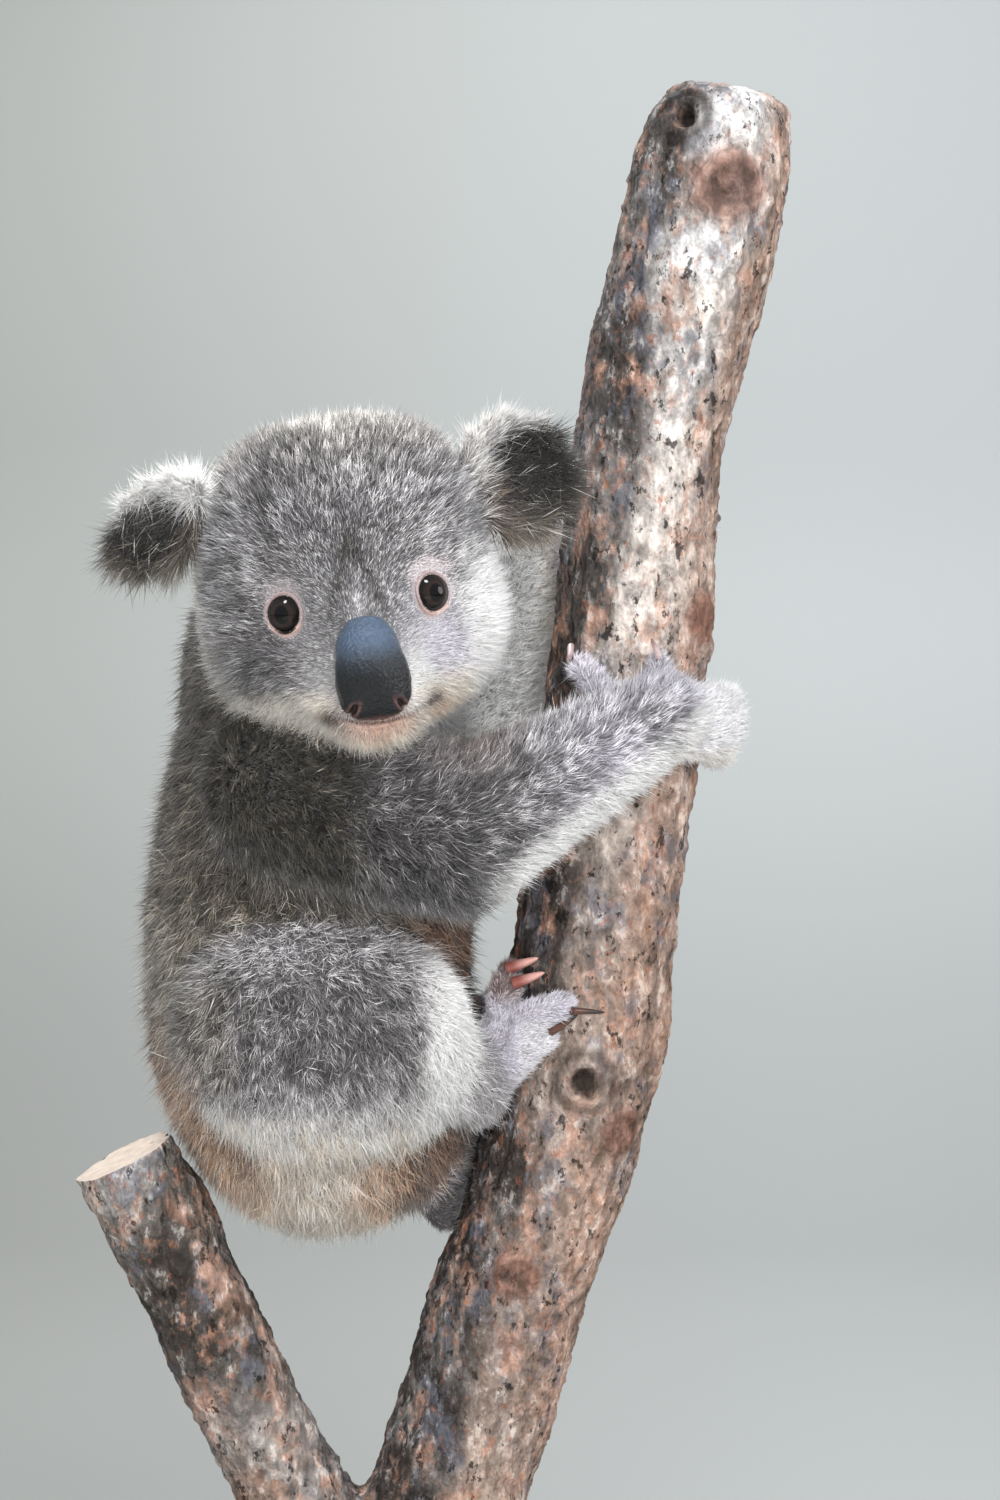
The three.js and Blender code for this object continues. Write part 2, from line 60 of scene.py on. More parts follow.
def linear(colour):
    """A colour as it looks on a screen, from 0 to 255, as linear light."""
    parts = (part / 255 for part in colour)
    return np.array([part / 12.92 if part <= 0.04045 else ((part + 0.055) / 1.055) ** 2.4 for part in parts])


COAT = {
    "grey": (130, 128, 130),
    "light grey": (178, 175, 178),
    "dark grey": (62, 60, 62),
    "back": (89, 83, 74),
    "shaded back": (48, 45, 40),
    "flank": (136, 130, 120),
    "brown": (116, 86, 66),
    "tan": (212, 163, 130),
    "cream": (250, 238, 222),
    "white": (250, 249, 249),
    "lilac": (206, 202, 214),
    "pink": (232, 196, 182),
    "lip": (70, 46, 44),
    "lid": (20, 15, 15),
    "ear hollow": (20, 17, 15),
    "lid fur": (226, 216, 219),
    "skin pink": (160, 138, 136),
    "sole": (70, 56, 54),
}


class Paint:
    """A colour for each of a number of points, laid on in soft patches over a ground."""

    def __init__(self, points, ground):
        self.points = points
        self.colour = np.tile(linear(COAT.get(ground, ground)), (len(points), 1))

    def lay(self, colour, amount):
        """Lays on a colour, given by its name in COAT or as it looks on a screen."""
        amount = np.clip(amount, 0, 1)[:, None]
        self.colour = self.colour * (1 - amount) + linear(COAT.get(colour, colour)) * amount

    def patch(self, colour, amount, centre, radii):
        self.lay(colour, amount * blob(self.points, centre, radii))


# ---------------------------------------------------------------- arrays of points

def numbers(items, field, width, kind=np.float64):
    """A field of every item in a mesh's collection, as rows."""
    found = np.empty(len(items) * width, kind)
    items.foreach_get(field, found)
    return found.reshape(-1, width)


def unit(vectors):
    return vectors / np.maximum(np.linalg.norm(vectors, axis=-1, keepdims=True), 1e-12)


def ramp(value, low, high):
    """0 below low and 1 above high, rising smoothly between them. Low may be the greater."""
    t = np.clip((value - low) / (high - low), 0, 1)
    return t * t * (3 - 2 * t)


def hump(value, top, width):
    """1 where a value is at the top of a soft hump, falling to nothing past its width on both sides."""
    return np.exp(-(((value - top) / width) ** 2))


def blob(points, centre, radii):
    """1 at the middle of a soft ellipsoid, falling to nothing past its radii."""
    return np.exp(-(((points - centre) / radii) ** 2).sum(-1))


def mottle(points, cell, seed=0):
    """Smooth noise from -1 to 1, in cells of a size in metres."""
    place = points / cell
    base = np.floor(place).astype(np.int64)
    part = place - base
    part = part * part * (3 - 2 * part)
    total = np.zeros(len(points))
    for corner in itertools.product((0, 1), repeat=3):
        key = ((base + corner) * (73856093, 19349663, 83492791)).sum(1) + seed * 7919
        key = ((key ^ (key >> 13)) * 1274126177) & 0x7FFFFFFF
        key ^= key >> 15
        total += np.where(corner, part, 1 - part).prod(1) * ((key & 0xFFFF) / 32767.5 - 1)
    return total


def layered(points, cell, layers, seed=0):
    """Mottle at halving sizes, each with a little over half the strength of the last."""
    return sum(0.55 ** i * mottle(points, cell / 2 ** i, seed + i) for i in range(layers))


def clumps(points, cell, seed=0):
    """The nearest point of a jittered grid, and three numbers from 0 to 1 that go with it."""
    base = np.floor(points / cell - 0.5).astype(np.int64)
    nearest = np.full(len(points), np.inf)
    centre, lot = np.empty_like(points), np.empty_like(points)
    for corner in itertools.product((0, 1), repeat=3):
        place = base + corner
        key = (place * (73856093, 19349663, 83492791)).sum(1) + seed * 104729
        draws = []
        for _ in range(6):
            key = (key * 1103515245 + 12345) & 0x7FFFFFFF
            key ^= key >> 11
            draws.append((key & 0xFFFF) / 65535)
        spot = (place + 0.15 + 0.7 * np.stack(draws[:3], 1)) * cell
        distance = np.linalg.norm(spot - points, axis=1)
        closer = distance < nearest
        nearest[closer] = distance[closer]
        centre[closer] = spot[closer]
        lot[closer] = np.stack(draws[3:], 1)[closer]
    return centre, lot


# ---------------------------------------------------------------- places, from the frame

def middle(node):
    low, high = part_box(node)
    return np.array((low + high) / 2)


def half_size(node):
    low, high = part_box(node)
    return np.array((high - low) / 2)


class Place:
    """A place on the koala with its own frame: its middle, its axes as rows, and their scale."""

    def __init__(self, centre, axes, scale=1):
        self.centre = centre
        self.axes = axes
        self.scale = scale

    def inside(self, points):
        """World points in this frame, in metres."""
        return (points - self.centre) @ self.axes.T / self.scale

    def outside(self, points):
        return np.asarray(points) * self.scale @ self.axes + self.centre


def head_place():
    """The head's frame: x to the koala's left, -y forwards, z to the crown, from the middle of the skull."""
    between_eyes = np.array((0, -28.6, -3.4)) * MM
    nose_middle = np.array((0.1, -47.6, -21.1)) * MM
    left, right = middle("eye_left"), middle("eye_right")
    x = unit(left - right)
    rise = unit(between_eyes - nose_middle - (between_eyes - nose_middle) * (1, 0, 0))
    up = (left + right) / 2 - middle("nose")
    up = unit(up - x * (up @ x))
    across = np.cross(x, up)
    axes = np.array([x, rise[1] * up - rise[2] * across, rise[2] * up + rise[1] * across])
    return Place((left + right) / 2 - between_eyes @ axes, axes)


head = head_place()

# How far each ear turns its hollow outwards and slants down, in degrees, and its height for its breadth. The
# right ear is laid back as a narrow oval. Its frame is as narrow, so that it is round inside its frame.
EARS = {"left": (3, 0, 1.0), "right": (20, 36, 0.68)}


def ear_place(side):
    """One ear's frame: outwards from the head, forwards and up."""
    sign = SIDES[side]
    turn, slant = (math.radians(angle) for angle in EARS[side][:2])
    out = np.array((sign * math.cos(turn), math.sin(turn), 0))
    up = np.array((0, 0, 1))
    ahead = (sign * math.sin(turn), -math.cos(turn), 0)
    slanted = math.cos(slant) * out - math.sin(slant) * up
    axes = np.array([slanted, ahead, math.sin(slant) * out + math.cos(slant) * up]) @ head.axes
    return Place(middle(f"ear_{side}"), axes, np.array((1, 1, EARS[side][2])))


def eye_place(side):
    """One eyeball's frame: sideways, up and out of the head."""
    ahead = unit(np.array((0.36 * SIDES[side], -1, 0.04)))
    across = unit(np.cross((0, 0, 1), ahead))
    return Place(middle(f"eye_{side}"), np.array([across, np.cross(ahead, across), ahead]) @ head.axes)


ears = {side: ear_place(side) for side in SIDES}
eyes = {side: eye_place(side) for side in SIDES}
EYE_RADIUS = half_size("eye_left")[2]
LID_OPENING = np.array((4.5, 5.4)) * MM  # half the width and height of the gap between the lids

PAIRED = ("ear", "upper_arm", "forearm", "hand", "thigh", "shin", "foot")
FLESH = ["trunk", "neck", "head"] + [f"{part}_{side}" for side in SIDES for part in PAIRED]


def lid_rim(eye, points):
    """How far out a point is between an eye's lids: 1 on their edge."""
    local = eye.inside(points)
    flat = np.linalg.norm(local[:, :2] / LID_OPENING, axis=1)
    return np.where(local[:, 2] > 0, flat, 9)


def off_mouth(local):
    """How far points in the head's frame lie above the line of the mouth, and how surely they are by it."""
    x, y, z = local.T
    x = x - 1.5  # the mouth is a little to the left
    line = -38.5 + 0.02 * x * x
    return z - line, ramp(np.abs(x), 15.5, 12.5) * ramp(y, -26, -33)


# ---------------------------------------------------------------- surfaces

def tree_of(nodes):
    """A search tree over some CAD nodes' triangles, and which of the nodes each triangle belongs to."""
    corners, faces, owners = [], [], []
    for k, name in enumerate(nodes):
        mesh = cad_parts[name].data
        start = sum(map(len, corners))
        corners.append(numbers(mesh.vertices, "co", 3))
        mesh.calc_loop_triangles()
        faces.append(numbers(mesh.loop_triangles, "vertices", 3, np.int32) + start)
        owners.append(np.full(len(faces[-1]), k))
    tree = BVHTree.FromPolygons(np.concatenate(corners).tolist(), np.concatenate(faces).tolist())
    return tree, np.concatenate(owners)


def distance_to(points, *nodes):
    """How far points are from the surfaces of some CAD nodes."""
    tree, _ = tree_of(nodes)
    return np.array([tree.find_nearest(point)[3] for point in points.tolist()])


def add_object(name, data, *materials):
    made = bpy.data.objects.new(name, data)
    for material in materials:
        data.materials.append(material)
    scene.collection.objects.link(made)
    return made


def mesh_of(form, name):
    """A finished bmesh as a mesh. The bmesh is freed."""
    mesh = bpy.data.meshes.new(name)
    form.to_mesh(mesh)
    form.free()
    return mesh


def node_copy(name, swell):
    """A CAD node's surface with its corners merged, swollen a little."""
    form = bmesh.new()
    form.from_mesh(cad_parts[name].data)
    bmesh.ops.remove_doubles(form, verts=form.verts, dist=0.01 * MM)
    form.normal_update()
    for corner in form.verts:
        corner.co += corner.normal * swell
    return form


def recast(forms, cell):
    """One closed surface over several overlapping bmeshes, made of even cells."""
    whole = bmesh.new()
    for form in forms:
        mesh = mesh_of(form, "part")
        whole.from_mesh(mesh)
        bpy.data.meshes.remove(mesh)
    mesh = mesh_of(whole, "cast")
    source = add_object("cast", mesh)
    remesh = source.modifiers.new("cast", "REMESH")
    remesh.mode = "VOXEL"
    remesh.voxel_size = cell
    made = bpy.data.meshes.new_from_object(source.evaluated_get(bpy.context.evaluated_depsgraph_get()))
    bpy.data.objects.remove(source)
    bpy.data.meshes.remove(mesh)
    return Surface(made)


class Surface:
    """A mesh as arrays: its points in metres, its triangles and its edges."""

    def __init__(self, mesh):
        mesh.calc_loop_triangles()
        self.mesh = mesh
        self.points = numbers(mesh.vertices, "co", 3)
        self.faces = numbers(mesh.loop_triangles, "vertices", 3, np.int32)
        self.edges = numbers(mesh.edges, "vertices", 2, np.int32)

    def crosses(self):
        """Each triangle's normal, as long as twice its area."""
        a, b, c = (self.points[corner] for corner in self.faces.T)
        return np.cross(b - a, c - a)

    def normals(self):
        facing = self.crosses()
        total = np.zeros_like(self.points)
        for axis, corner in itertools.product(range(3), repeat=2):
            total[:, axis] += np.bincount(self.faces[:, corner], facing[:, axis], len(self.points))
        return unit(total)

    def evened(self, values, rounds=1, share=1.0):
        """Values at the points, each drawn towards the mean of its neighbours."""
        values = values.reshape(len(self.points), -1).copy()
        first, second = self.edges.T
        count = np.bincount(self.edges.ravel(), minlength=len(self.points))[:, None]
        for _ in range(rounds):
            total = np.stack([
                np.bincount(first, column[second], len(self.points))
                + np.bincount(second, column[first], len(self.points))
                for column in values.T
            ], 1)
            values += share * (total / count - values)
        return values

    def relax(self, rounds, share):
        """Evens out facets and ripples without drawing the form in."""
        for _ in range(rounds):
            self.points = self.evened(self.points, 1, 0.6 * share)
            self.points = self.evened(self.points, 1, -0.61 * share)

    def form(self):
        """The surface as a bmesh. Its mesh is removed."""
        self.mesh.vertices.foreach_set("co", self.points.ravel())
        self.mesh.update()
        form = bmesh.new()
        form.from_mesh(self.mesh)
        bpy.data.meshes.remove(self.mesh)
        return form


def tint(mesh, colours, name="coat_colour"):
    """Keeps a colour for every point of a mesh."""
    layer = mesh.attributes.new(name, "FLOAT_COLOR", "POINT")
    layer.data.foreach_set("color", np.column_stack([colours, np.ones(len(colours))]).ravel())


# ---------------------------------------------------------------- what the coat is like from place to place

def aim(start, end, sag):
    """The way from one CAD node to another, drawn down by the coat's weight."""
    return unit(middle(end) - middle(start)) - (0, 0, sag)


# For each node of flesh: which way the fur runs, how long it is and how wide its tufts are, in mm, how many
# there are to a square millimetre, and how steeply they rise, in degrees
COMB = {
    "trunk": ((-0.1, 0, -1), 8.2, 0.46, 2.2, 31),
    "neck": ((-0.2, 0, -1), 8, 0.46, 2.3, 31),
    "head": ((0, 0, 1), 5.4, 0.33, 4.2, 48),
}
for side in SIDES:
    arm = aim(f"upper_arm_{side}", f"forearm_{side}", 0.45)
    reach = aim(f"forearm_{side}", f"hand_{side}", 0.25)
    COMB |= {
        f"ear_{side}": (unit(middle(f"ear_{side}") - head.centre), 15, 0.31, 4.8, 15),
        f"upper_arm_{side}": (arm, 7.2, 0.44, 2.9, 33),
        f"forearm_{side}": (reach, 6.2, 0.42, 3.3, 32),
        f"hand_{side}": (reach + (0, 0, 0.1), 4.2, 0.34, 3.6, 34),
        f"thigh_{side}": ((0.15, 0, -1), 7.2, 0.43, 3.3, 33),
        f"shin_{side}": ((0.5, 0, -0.8), 5.5, 0.42, 2.8, 27),
        f"foot_{side}": ((0.8, 0, 0.25), 3.2, 0.31, 3.9, 32),
    }
WAY, LENGTH, WIDTH, CLOSE, LIFT = range(5)


def comb(share, column):
    """One column of COMB at each point, blended across the nodes that the point belongs to."""
    return share @ np.array([COMB[name][column] for name in FLESH])


def shares(surface):
    """How far each point belongs to each node of flesh, blended softly across the seams between them."""
    tree, owners = tree_of(FLESH)
    own = [owners[tree.find_nearest(point)[2]] for point in surface.points.tolist()]
    return surface.evened(np.eye(len(FLESH))[own], 5)


def belongs(share, *parts):
    """The summed share of the nodes whose names start with any of these."""
    return sum(share[:, k] for k, name in enumerate(FLESH) if name.startswith(parts))


def fur_length(points, share):
    """Fur length in metres: short on the face and paws, long on the cheeks, the rump and the ears' edges."""
    length = comb(share, LENGTH) * MM
    local = head.inside(points) / MM
    x, y, z = local.T
    skull = belongs(share, "head")
    face = np.minimum(1.35 * blob(local, (0, -42, -10), (30, 26, 34)), 1)
    length *= 1 - 0.56 * skull * face
    length *= 1 + 0.55 * skull * blob(np.column_stack([np.abs(x), y, z]), (38, -10, -22), (14, 20, 20))
    rump = belongs(share, "trunk") * ramp(points[:, 2], 0.28, 0.24)
    length *= 1 + 0.2 * rump
    for side, ear in ears.items():
        out, ahead, up = ear.inside(points).T / MM
        short = ramp(np.hypot(out, up), 19, 11) * ramp(ahead, -6, 2)
        above = ramp(up - 0.4 * out, 2, 12)
        own = belongs(share, f"ear_{side}")
        length *= 1 - own * np.maximum(0.6 * short, 0.5 * above)
        length *= 1 + 0.5 * own * ramp(out, 6, 18)
    return length


# ---------------------------------------------------------------- skin

SKIN_CELL, WHOLE_CELL = 1.15 * MM, 1.7 * MM  # of the skin without its ears, and with them
DEPTH_SHARE = 0.42  # how far the skin lies inside the coat's outline, in fur lengths
DEPTH_STEPS = 4

# Parts of the body that run softly into each other under the coat
JOINED = (
    ("trunk", "thigh"),
    ("trunk", "upper_arm"),
    ("trunk", "neck"),
    ("upper_arm", "forearm"),
    ("thigh", "shin"),
)


def ear_form(ear):
    """An ear's flap: a round cup with its hollow to the front and its rim curled forwards."""
    form = bmesh.new()
    bmesh.ops.create_uvsphere(form, u_segments=48, v_segments=32, radius=1)
    for corner in form.verts:
        x, y, z = corner.co
        radius = math.hypot(x, z)
        thick = 2.9 - 1.5 * radius
        bowl = 7.5 * radius * radius - 4
        corner.co = ear.outside(np.array((18.5 * x - 2.5, bowl - thick * y, 19.0 * z - 0.5)) * MM)
    bmesh.ops.recalc_face_normals(form, faces=form.faces)
    return form


def seams(skin, share):
    """1 along the seams between joined parts, falling to nothing a little way off them."""
    near = sum(4 * belongs(share, one) * belongs(share, other) for one, other in JOINED)
    near = skin.evened(np.minimum(near, 1), 10)
    return np.minimum(1.5 * skin.evened(near, 10), 1)


def make_skin():
    """The skin, cast over the flesh, smoothed and drawn in by the depth of the coat."""
    forms = [
        node_copy(name, 0.3 * MM if name.startswith(("hand", "foot")) else 0.5 * MM)
        for name in FLESH if not name.startswith("ear")
    ]
    forms += [node_copy(name, 0.2 * MM) for name in ("nose", "eye_left", "eye_right")]
    skin = recast(forms, SKIN_CELL)
    share = shares(skin)
    paws = belongs(share, "hand", "foot")
    soft = 1 - 0.9 * paws[:, None]
    skin.relax(90, soft)
    skin.points = skin.evened(skin.points, 110, seams(skin, share))
    depth = skin.evened(fur_length(skin.points, share) * (DEPTH_SHARE - 0.2 * paws), 12)
    for _ in range(DEPTH_STEPS):
        skin.points -= skin.evened(skin.normals(), 2) * depth / DEPTH_STEPS
        skin.points = skin.evened(skin.points, 1, 0.3 * soft)
    skin = recast([skin.form(), *map(ear_form, ears.values())], WHOLE_CELL)
    skin.points = skin.evened(skin.points, 2, 0.5)
    return skin


def refine(skin, places, radius):
    """Halves the cells of the skin round some places."""
    form = skin.form()
    edges = [
        edge for edge in form.edges
        if any((edge.verts[0].co - Vector(place)).length < radius for place in places)
    ]
    bmesh.ops.subdivide_edges(form, edges=edges, cuts=1, use_grid_fill=True)
    bmesh.ops.triangulate(form, faces=[face for face in form.faces if len(face.verts) > 4])
    return Surface(mesh_of(form, "koala_skin"))


def model_face(skin):
    """Lids round the eyes, a seat for the nose, and lips."""
    for eye in eyes.values():
        rim = lid_rim(eye, skin.points)
        offset = skin.points - eye.centre
        distance = np.linalg.norm(offset, axis=1)
        relief = 0.3 + 0.9 * ramp(rim, 1.1, 2.1) + 0.65 * hump(rim, 1.1, 0.12) - 0.45 * hump(rim, 1.5, 0.12)
        lid = np.where(rim < 1.0, EYE_RADIUS - 1.8 * MM, EYE_RADIUS + relief * MM)
        near = ramp(rim, 2.5, 1.7) * (distance < 3 * EYE_RADIUS)
        skin.points = eye.centre + unit(offset) * (distance + near * (lid - distance))[:, None]
    share = shares(skin)
    skull = belongs(share, "head")
    local = head.inside(skin.points) / MM
    above, beside = off_mouth(local)
    lower = hump(above, -2.4, 1.8) * ramp(np.abs(local[:, 0]), 12, 5)
    push = (0.45 * lower - 1.5 * hump(above, 0, 0.75)) * beside * skull
    near_nose = ramp(distance_to(skin.points, "nose"), 3 * MM, 1 * MM) * ramp(local[:, 1], -36, -40)
    push -= 1.2 * near_nose * skull
    skin.points += skin.normals() * push[:, None] * MM
    return share


# ---------------------------------------------------------------- coat colours, with painted light and shade

def head_markings_and_shading(points):
    """The colours of the head, from places in its own frame, with painted light on its left half and painted
    shade on its right.
    """
    local = head.inside(points) / MM
    x, y, z = local.T
    wide = np.abs(x)
    front = ramp(y, -6, -20)
    left_half = ramp(x, -6, 10)
    paint = Paint(local, "grey")
    lay, patch = paint.lay, paint.patch
    lay("back", 0.6 * ramp(z, 26, 44))
    lay("cream", 0.2 * ramp(z, 46, 54) + 0.3 * ramp(y, -8, 6) * ramp(z, 44, 20))
    lay("back", 0.9 * ramp(y, 4, 24) * ramp(z, 40, 12))
    # The forehead is darker on the koala's right than on its left: dark grey fur, with painted shade on the
    # right.
    patch("dark grey", 0.85, (-24, -20, 34), (16, 24, 17))
    patch("dark grey", 0.35, (28, -20, 34), (16, 24, 18))
    patch("dark grey", 0.4 * front, (0, -34, 16), (26, 30, 18))
    patch("dark grey", 0.5 * front, (-1.5, -38, 8), (5, 20, 15))
    for top, foot in ((-1, -10), (0, 7.5)):
        furrow = top + (foot - top) * (15 - z) / 22
        lay("shaded back", 0.8 * front * (hump(x, furrow, 1.7) * ramp(z, -10, -3) * ramp(z, 22, 12)))
    patch("light grey", 0.8 * front, (-0.8, -40, -3), (1.7, 20, 6))
    # Dark grey round the right eye and on the right cheek, less on the left temple: dark fur, with painted
    # shade on the right.
    patch("dark grey", 0.6, (-40, -16, 6), (5, 12, 12))
    patch("dark grey", 0.6, (-31, -29, -20), (11, 14, 11))
    patch("dark grey", 0.5, (36, -20, 8), (7, 14, 12))
    # Light grey and lilac on the left half of the face: pale fur, made paler there as painted light.
    lay("light grey", 0.3 * left_half * ramp(x, 8, 30) * front * ramp(z, 26, 10))
    patch("lilac", 0.95 * left_half * front, (23, -32, -20), (12, 16, 13))
    patch("light grey", 0.4 * front, (-17, -38, -16), (7, 14, 13))
    # More painted shade on the right cheek.
    patch("dark grey", 0.5, (-29, -30, -15), (10, 16, 13))
    muzzle = blob(np.column_stack([wide, y, z]), (14, -44, -27), (6, 12, 9))
    # White beside the nose, stronger on the left half: white fur, with painted light on the left.
    lay("white", (0.35 + 0.6 * left_half) * front * muzzle)
    jaw = ramp(z, -24, -33) * ramp(wide, 8, 16)
    lay("cream", 0.9 * np.maximum(jaw, front * ramp(y, -17, -9) * ramp(z, 2, -10)))
    # White cheek rim on the left half only: white fur, with painted light.
    lay("white", left_half * ramp(wide, 26, 36) * ramp(z, 10, -8))
    patch("tan", 0.75, (20, -22, -40), (9, 14, 7))
    lay("cream", ramp(z, -40, -44) + 0.9 * front * blob(local, (1.5, -44, -41), (13, 14, 5)))
    patch("pink", front, (1.5, -46, -41), (13, 12, 4))
    patch("tan", 0.35 * front, (1.5, -44, -43), (14, 14, 5))
    for side, eye in eyes.items():
        rim = lid_rim(eye, points)
        up = eye.inside(points)[:, 1] / MM
        ring = hump(rim, 1.32, 0.2) + 0.9 * hump(rim, 1.75, 0.35) * ramp(up, 3, 7)
        # The pale ring is stronger round the left eye than the right: painted light on the left and painted
        # shade on the right.
        lay("lid fur", ring * (0.8 if side == "left" else 0.45))
    streak = np.linalg.norm(np.cross(local - (-33, -26, 10), unit(np.array((6.0, -5.0, -7.0)))), axis=1)
    patch("light grey", 0.8 * ramp(streak, 2.6, 1.2), (-30, -28.5, 6.5), (7, 8, 8))
    # Dark brown at the mouth's corners: dark spots in the fur, with painted shade in the corners' creases.
    corners = blob(local, (18, -34, -34.5), (3.4, 6, 2.6)) + blob(local, (-14, -43, -35.5), (3, 6, 2.6))
    lay("brown", 1.5 * corners)
    lay("dark grey", 0.9 * corners)
    above, beside = off_mouth(local)
    lay("lip", 0.75 * beside * hump(above, 0, 0.6))
    return paint.colour


def markings_and_shading(points, share):
    """The coat's colour anywhere, from its place on the body alone, with painted light and shade in places.
    """
    place = points / MM
    x, y, z = place.T
    locks = layered(place * (1, 1, 0.35), 5, 2, 23)  # roughens edges between colours into upright locks
    body = Paint(place, "grey")
    lay, patch = body.lay, body.patch

    def on(*parts):
        return belongs(share, *parts)

    trunk, neck, arm, fore = (on(part) for part in ("trunk", "neck", "upper_arm", "forearm"))
    lay("back", trunk + neck)
    lay("flank", 0.85 * trunk * ramp(z, 335, 305))
    lay("brown", 0.6 * trunk * ramp(x, -50, -74) * ramp(z, 300, 265))
    # A brown band between the arm and the thigh: brown belly fur, deepened with painted shade.
    lay("brown", 0.9 * trunk * ramp(x, -5, 12) * ramp(z, 345, 325))
    lay("cream", trunk * ramp(z + 6 * locks, 272, 248))
    patch("white", 0.35 * trunk, (-18, -37, 240), (24, 34, 14))
    patch("tan", 0.6, (24, 0, 380), (13, 60, 13))
    lay("tan", 0.15 * trunk * ramp(z, 262, 246))
    stained = blob(place, (4, -26, 238), (16, 40, 18)) + blob(place, (-56, -14, 244), (20, 50, 26))
    lay("tan", trunk * stained)
    patch("brown", 0.6 * trunk, (-48, -20, 252), (16, 40, 16))
    # The rump turns brown on its right, under the thigh: painted shadow over its tan fur.
    lay("brown", trunk * ramp(x + 4 * locks, -5, 11) * ramp(z, 290, 250))
    lay("white", (trunk + neck) * ramp(x, -4, 14) * ramp(z, 335, 355))
    lay("shaded back", 0.6 * (trunk + neck) * ramp(x, -8, -30) * ramp(z, 335, 375) * ramp(y, 25, -15))
    lay("cream", 0.8 * neck * ramp(x, -24, -4) * ramp(y, -8, -30))
    lay("shaded back", arm * ramp(x, 14, -16))
    lay("dark grey", 0.8 * arm * ramp(x, -16, 10))
    lay("dark grey", 0.7 * fore * ramp(x, 54, 22))
    lay("lilac", 0.7 * fore * ramp(x, 36, 78))
    for side in SIDES:
        start, end = middle(f"forearm_{side}") / MM, middle(f"hand_{side}") / MM
        below = unit(np.cross(end - start, (0, 1, 0)))
        below *= -np.sign(below[2])
        low = (place - start) @ below / (25 - 0.165 * (x - 20)).clip(12, 26)
        lay("white", on(f"forearm_{side}", f"hand_{side}") * ramp(low, 0.05, 0.5) * ramp(x, 20, 42))
        lay("cream", 0.8 * on(f"upper_arm_{side}", f"forearm_{side}") * ramp(low, 0.75, 1.0))
    far = on("upper_arm_left", "forearm_left", "hand_left") * ramp(y, 56, 38) * ramp(x, 0, 26)
    lay("white", 1.3 * far)
    lay("cream", 0.9 * far * ramp(x, 44, 52))
    # Grey at the top of the far arm, between the head and the limb: painted shade over its white fur.
    lay("grey", 0.5 * far * ramp(z, 416, 428) * ramp(x, 46, 54))
    for side in SIDES:
        own = on(f"thigh_{side}")
        off = (place - middle(f"thigh_{side}") / MM) / (40, 60, 36)
        off_middle = np.linalg.norm((off - (0.05, 0, 0.2))[:, (0, 2)], axis=1)
        across, up = off[:, 0], off[:, 2]
        low = up + 0.2 * locks
        for colour, amount, value, start, end in (
            ("back", 0.7, across + 0.15 * locks, -0.35, -0.85),
            ("light grey", 0.4, up, 0.3, 0.9),
            ("dark grey", 0.6, off_middle + 0.1 * locks, 0.95, 0.25),
            ("light grey", 0.7, low, -0.15, -0.6),
            ("white", 0.6, low, -0.35, -0.85),
            ("cream", 0.95, low, -0.5, -0.95),
            ("tan", 0.45, low, -0.75, -1.05),
            ("white", 1, across + 0.1 * locks, 0.65, 0.95),
        ):
            lay(colour, amount * own * ramp(value, start, end))
        lay("tan", 0.5 * own * ramp(across, -0.85, -1.1) * ramp(up, 0, -0.5))
    lay("light grey", 0.8 * on("shin"))
    paws = on("hand", "foot")
    lay("lilac", paws)
    lay("grey", 0.5 * paws * ramp(layered(place, 4, 2, 9), 0, 0.6))
    patch("grey", 0.7 * on("forearm_right", "hand_right"), (82, -40, 384), (13, 34, 8))
    hand, foot = on("hand_right"), on("foot_right")
    lay("white", 0.55 * hand * ramp(x, 92, 102))
    lay("white", 0.3 * foot * ramp(x, 38, 44) * ramp(z, 292, 286))
    lay("brown", 0.7 * foot * ramp(z, 291, 297) * ramp(x, 46, 38))
    lay("shaded back", 0.9 * on("foot_left", "shin_left"))
    lay("cream", 0.6 * hand * ramp(z, 376, 370))

    skull = np.clip(on("head"), 0, 1)[:, None]
    body.colour = body.colour * (1 - skull) + head_markings_and_shading(points) * skull
    for side, ear in ears.items():
        right = side == "right"
        own = on(f"ear_{side}")
        out, ahead, up = ear.inside(points).T / MM
        flat = np.column_stack([out, up])
        hollow = ramp(ahead, -6, 0) * blob(flat, (-1 if right else 3, 3), (13, 12.5))
        lay("flank", own)
        lay("back", own * ramp(up, 2, -8))
        lay("shaded back", 0.3 * own * ramp(up, 0, -8) * ramp(up, -20, -12))
        lay("cream", 0.2 * own * ramp(up, -13, -20))
        lay("light grey", 0.5 * own * ramp(out, 16, 22))
        lay("brown", 0.6 * own * ramp(ahead, -6, 0) * blob(flat, (-9, 0), (5, 14)))
        lay("ear hollow", own * np.minimum(2.4 * hollow, 1))
        lay("tan", 0.8 * own * blob(flat, (24, -1), (6, 8)) * right)
        # White on each ear's upper rim: white fur, made stronger on the right ear as painted back light.
        edge = ramp(np.hypot(out - 3, up), 11, 15) * ramp(up - 0.8 * out, 2, 10)
        lay("white", (0.85 if right else 0.5) * own * edge)
    return body.colour


# ---------------------------------------------------------------- coat

# The coat's pieces, and the nodes whose fur each holds
COAT_PIECES = {"trunk": ["trunk", "neck"], "head": ["head"]}
for side in SIDES:
    COAT_PIECES |= {
        f"ear_{side}": [f"ear_{side}"],
        f"arm_{side}": [f"upper_arm_{side}", f"forearm_{side}"],
        f"hand_{side}": [f"hand_{side}"],
        f"leg_{side}": [f"thigh_{side}", f"shin_{side}"],
        f"foot_{side}": [f"foot_{side}"],
    }
LARGEST_PIECE = 195000  # triangles


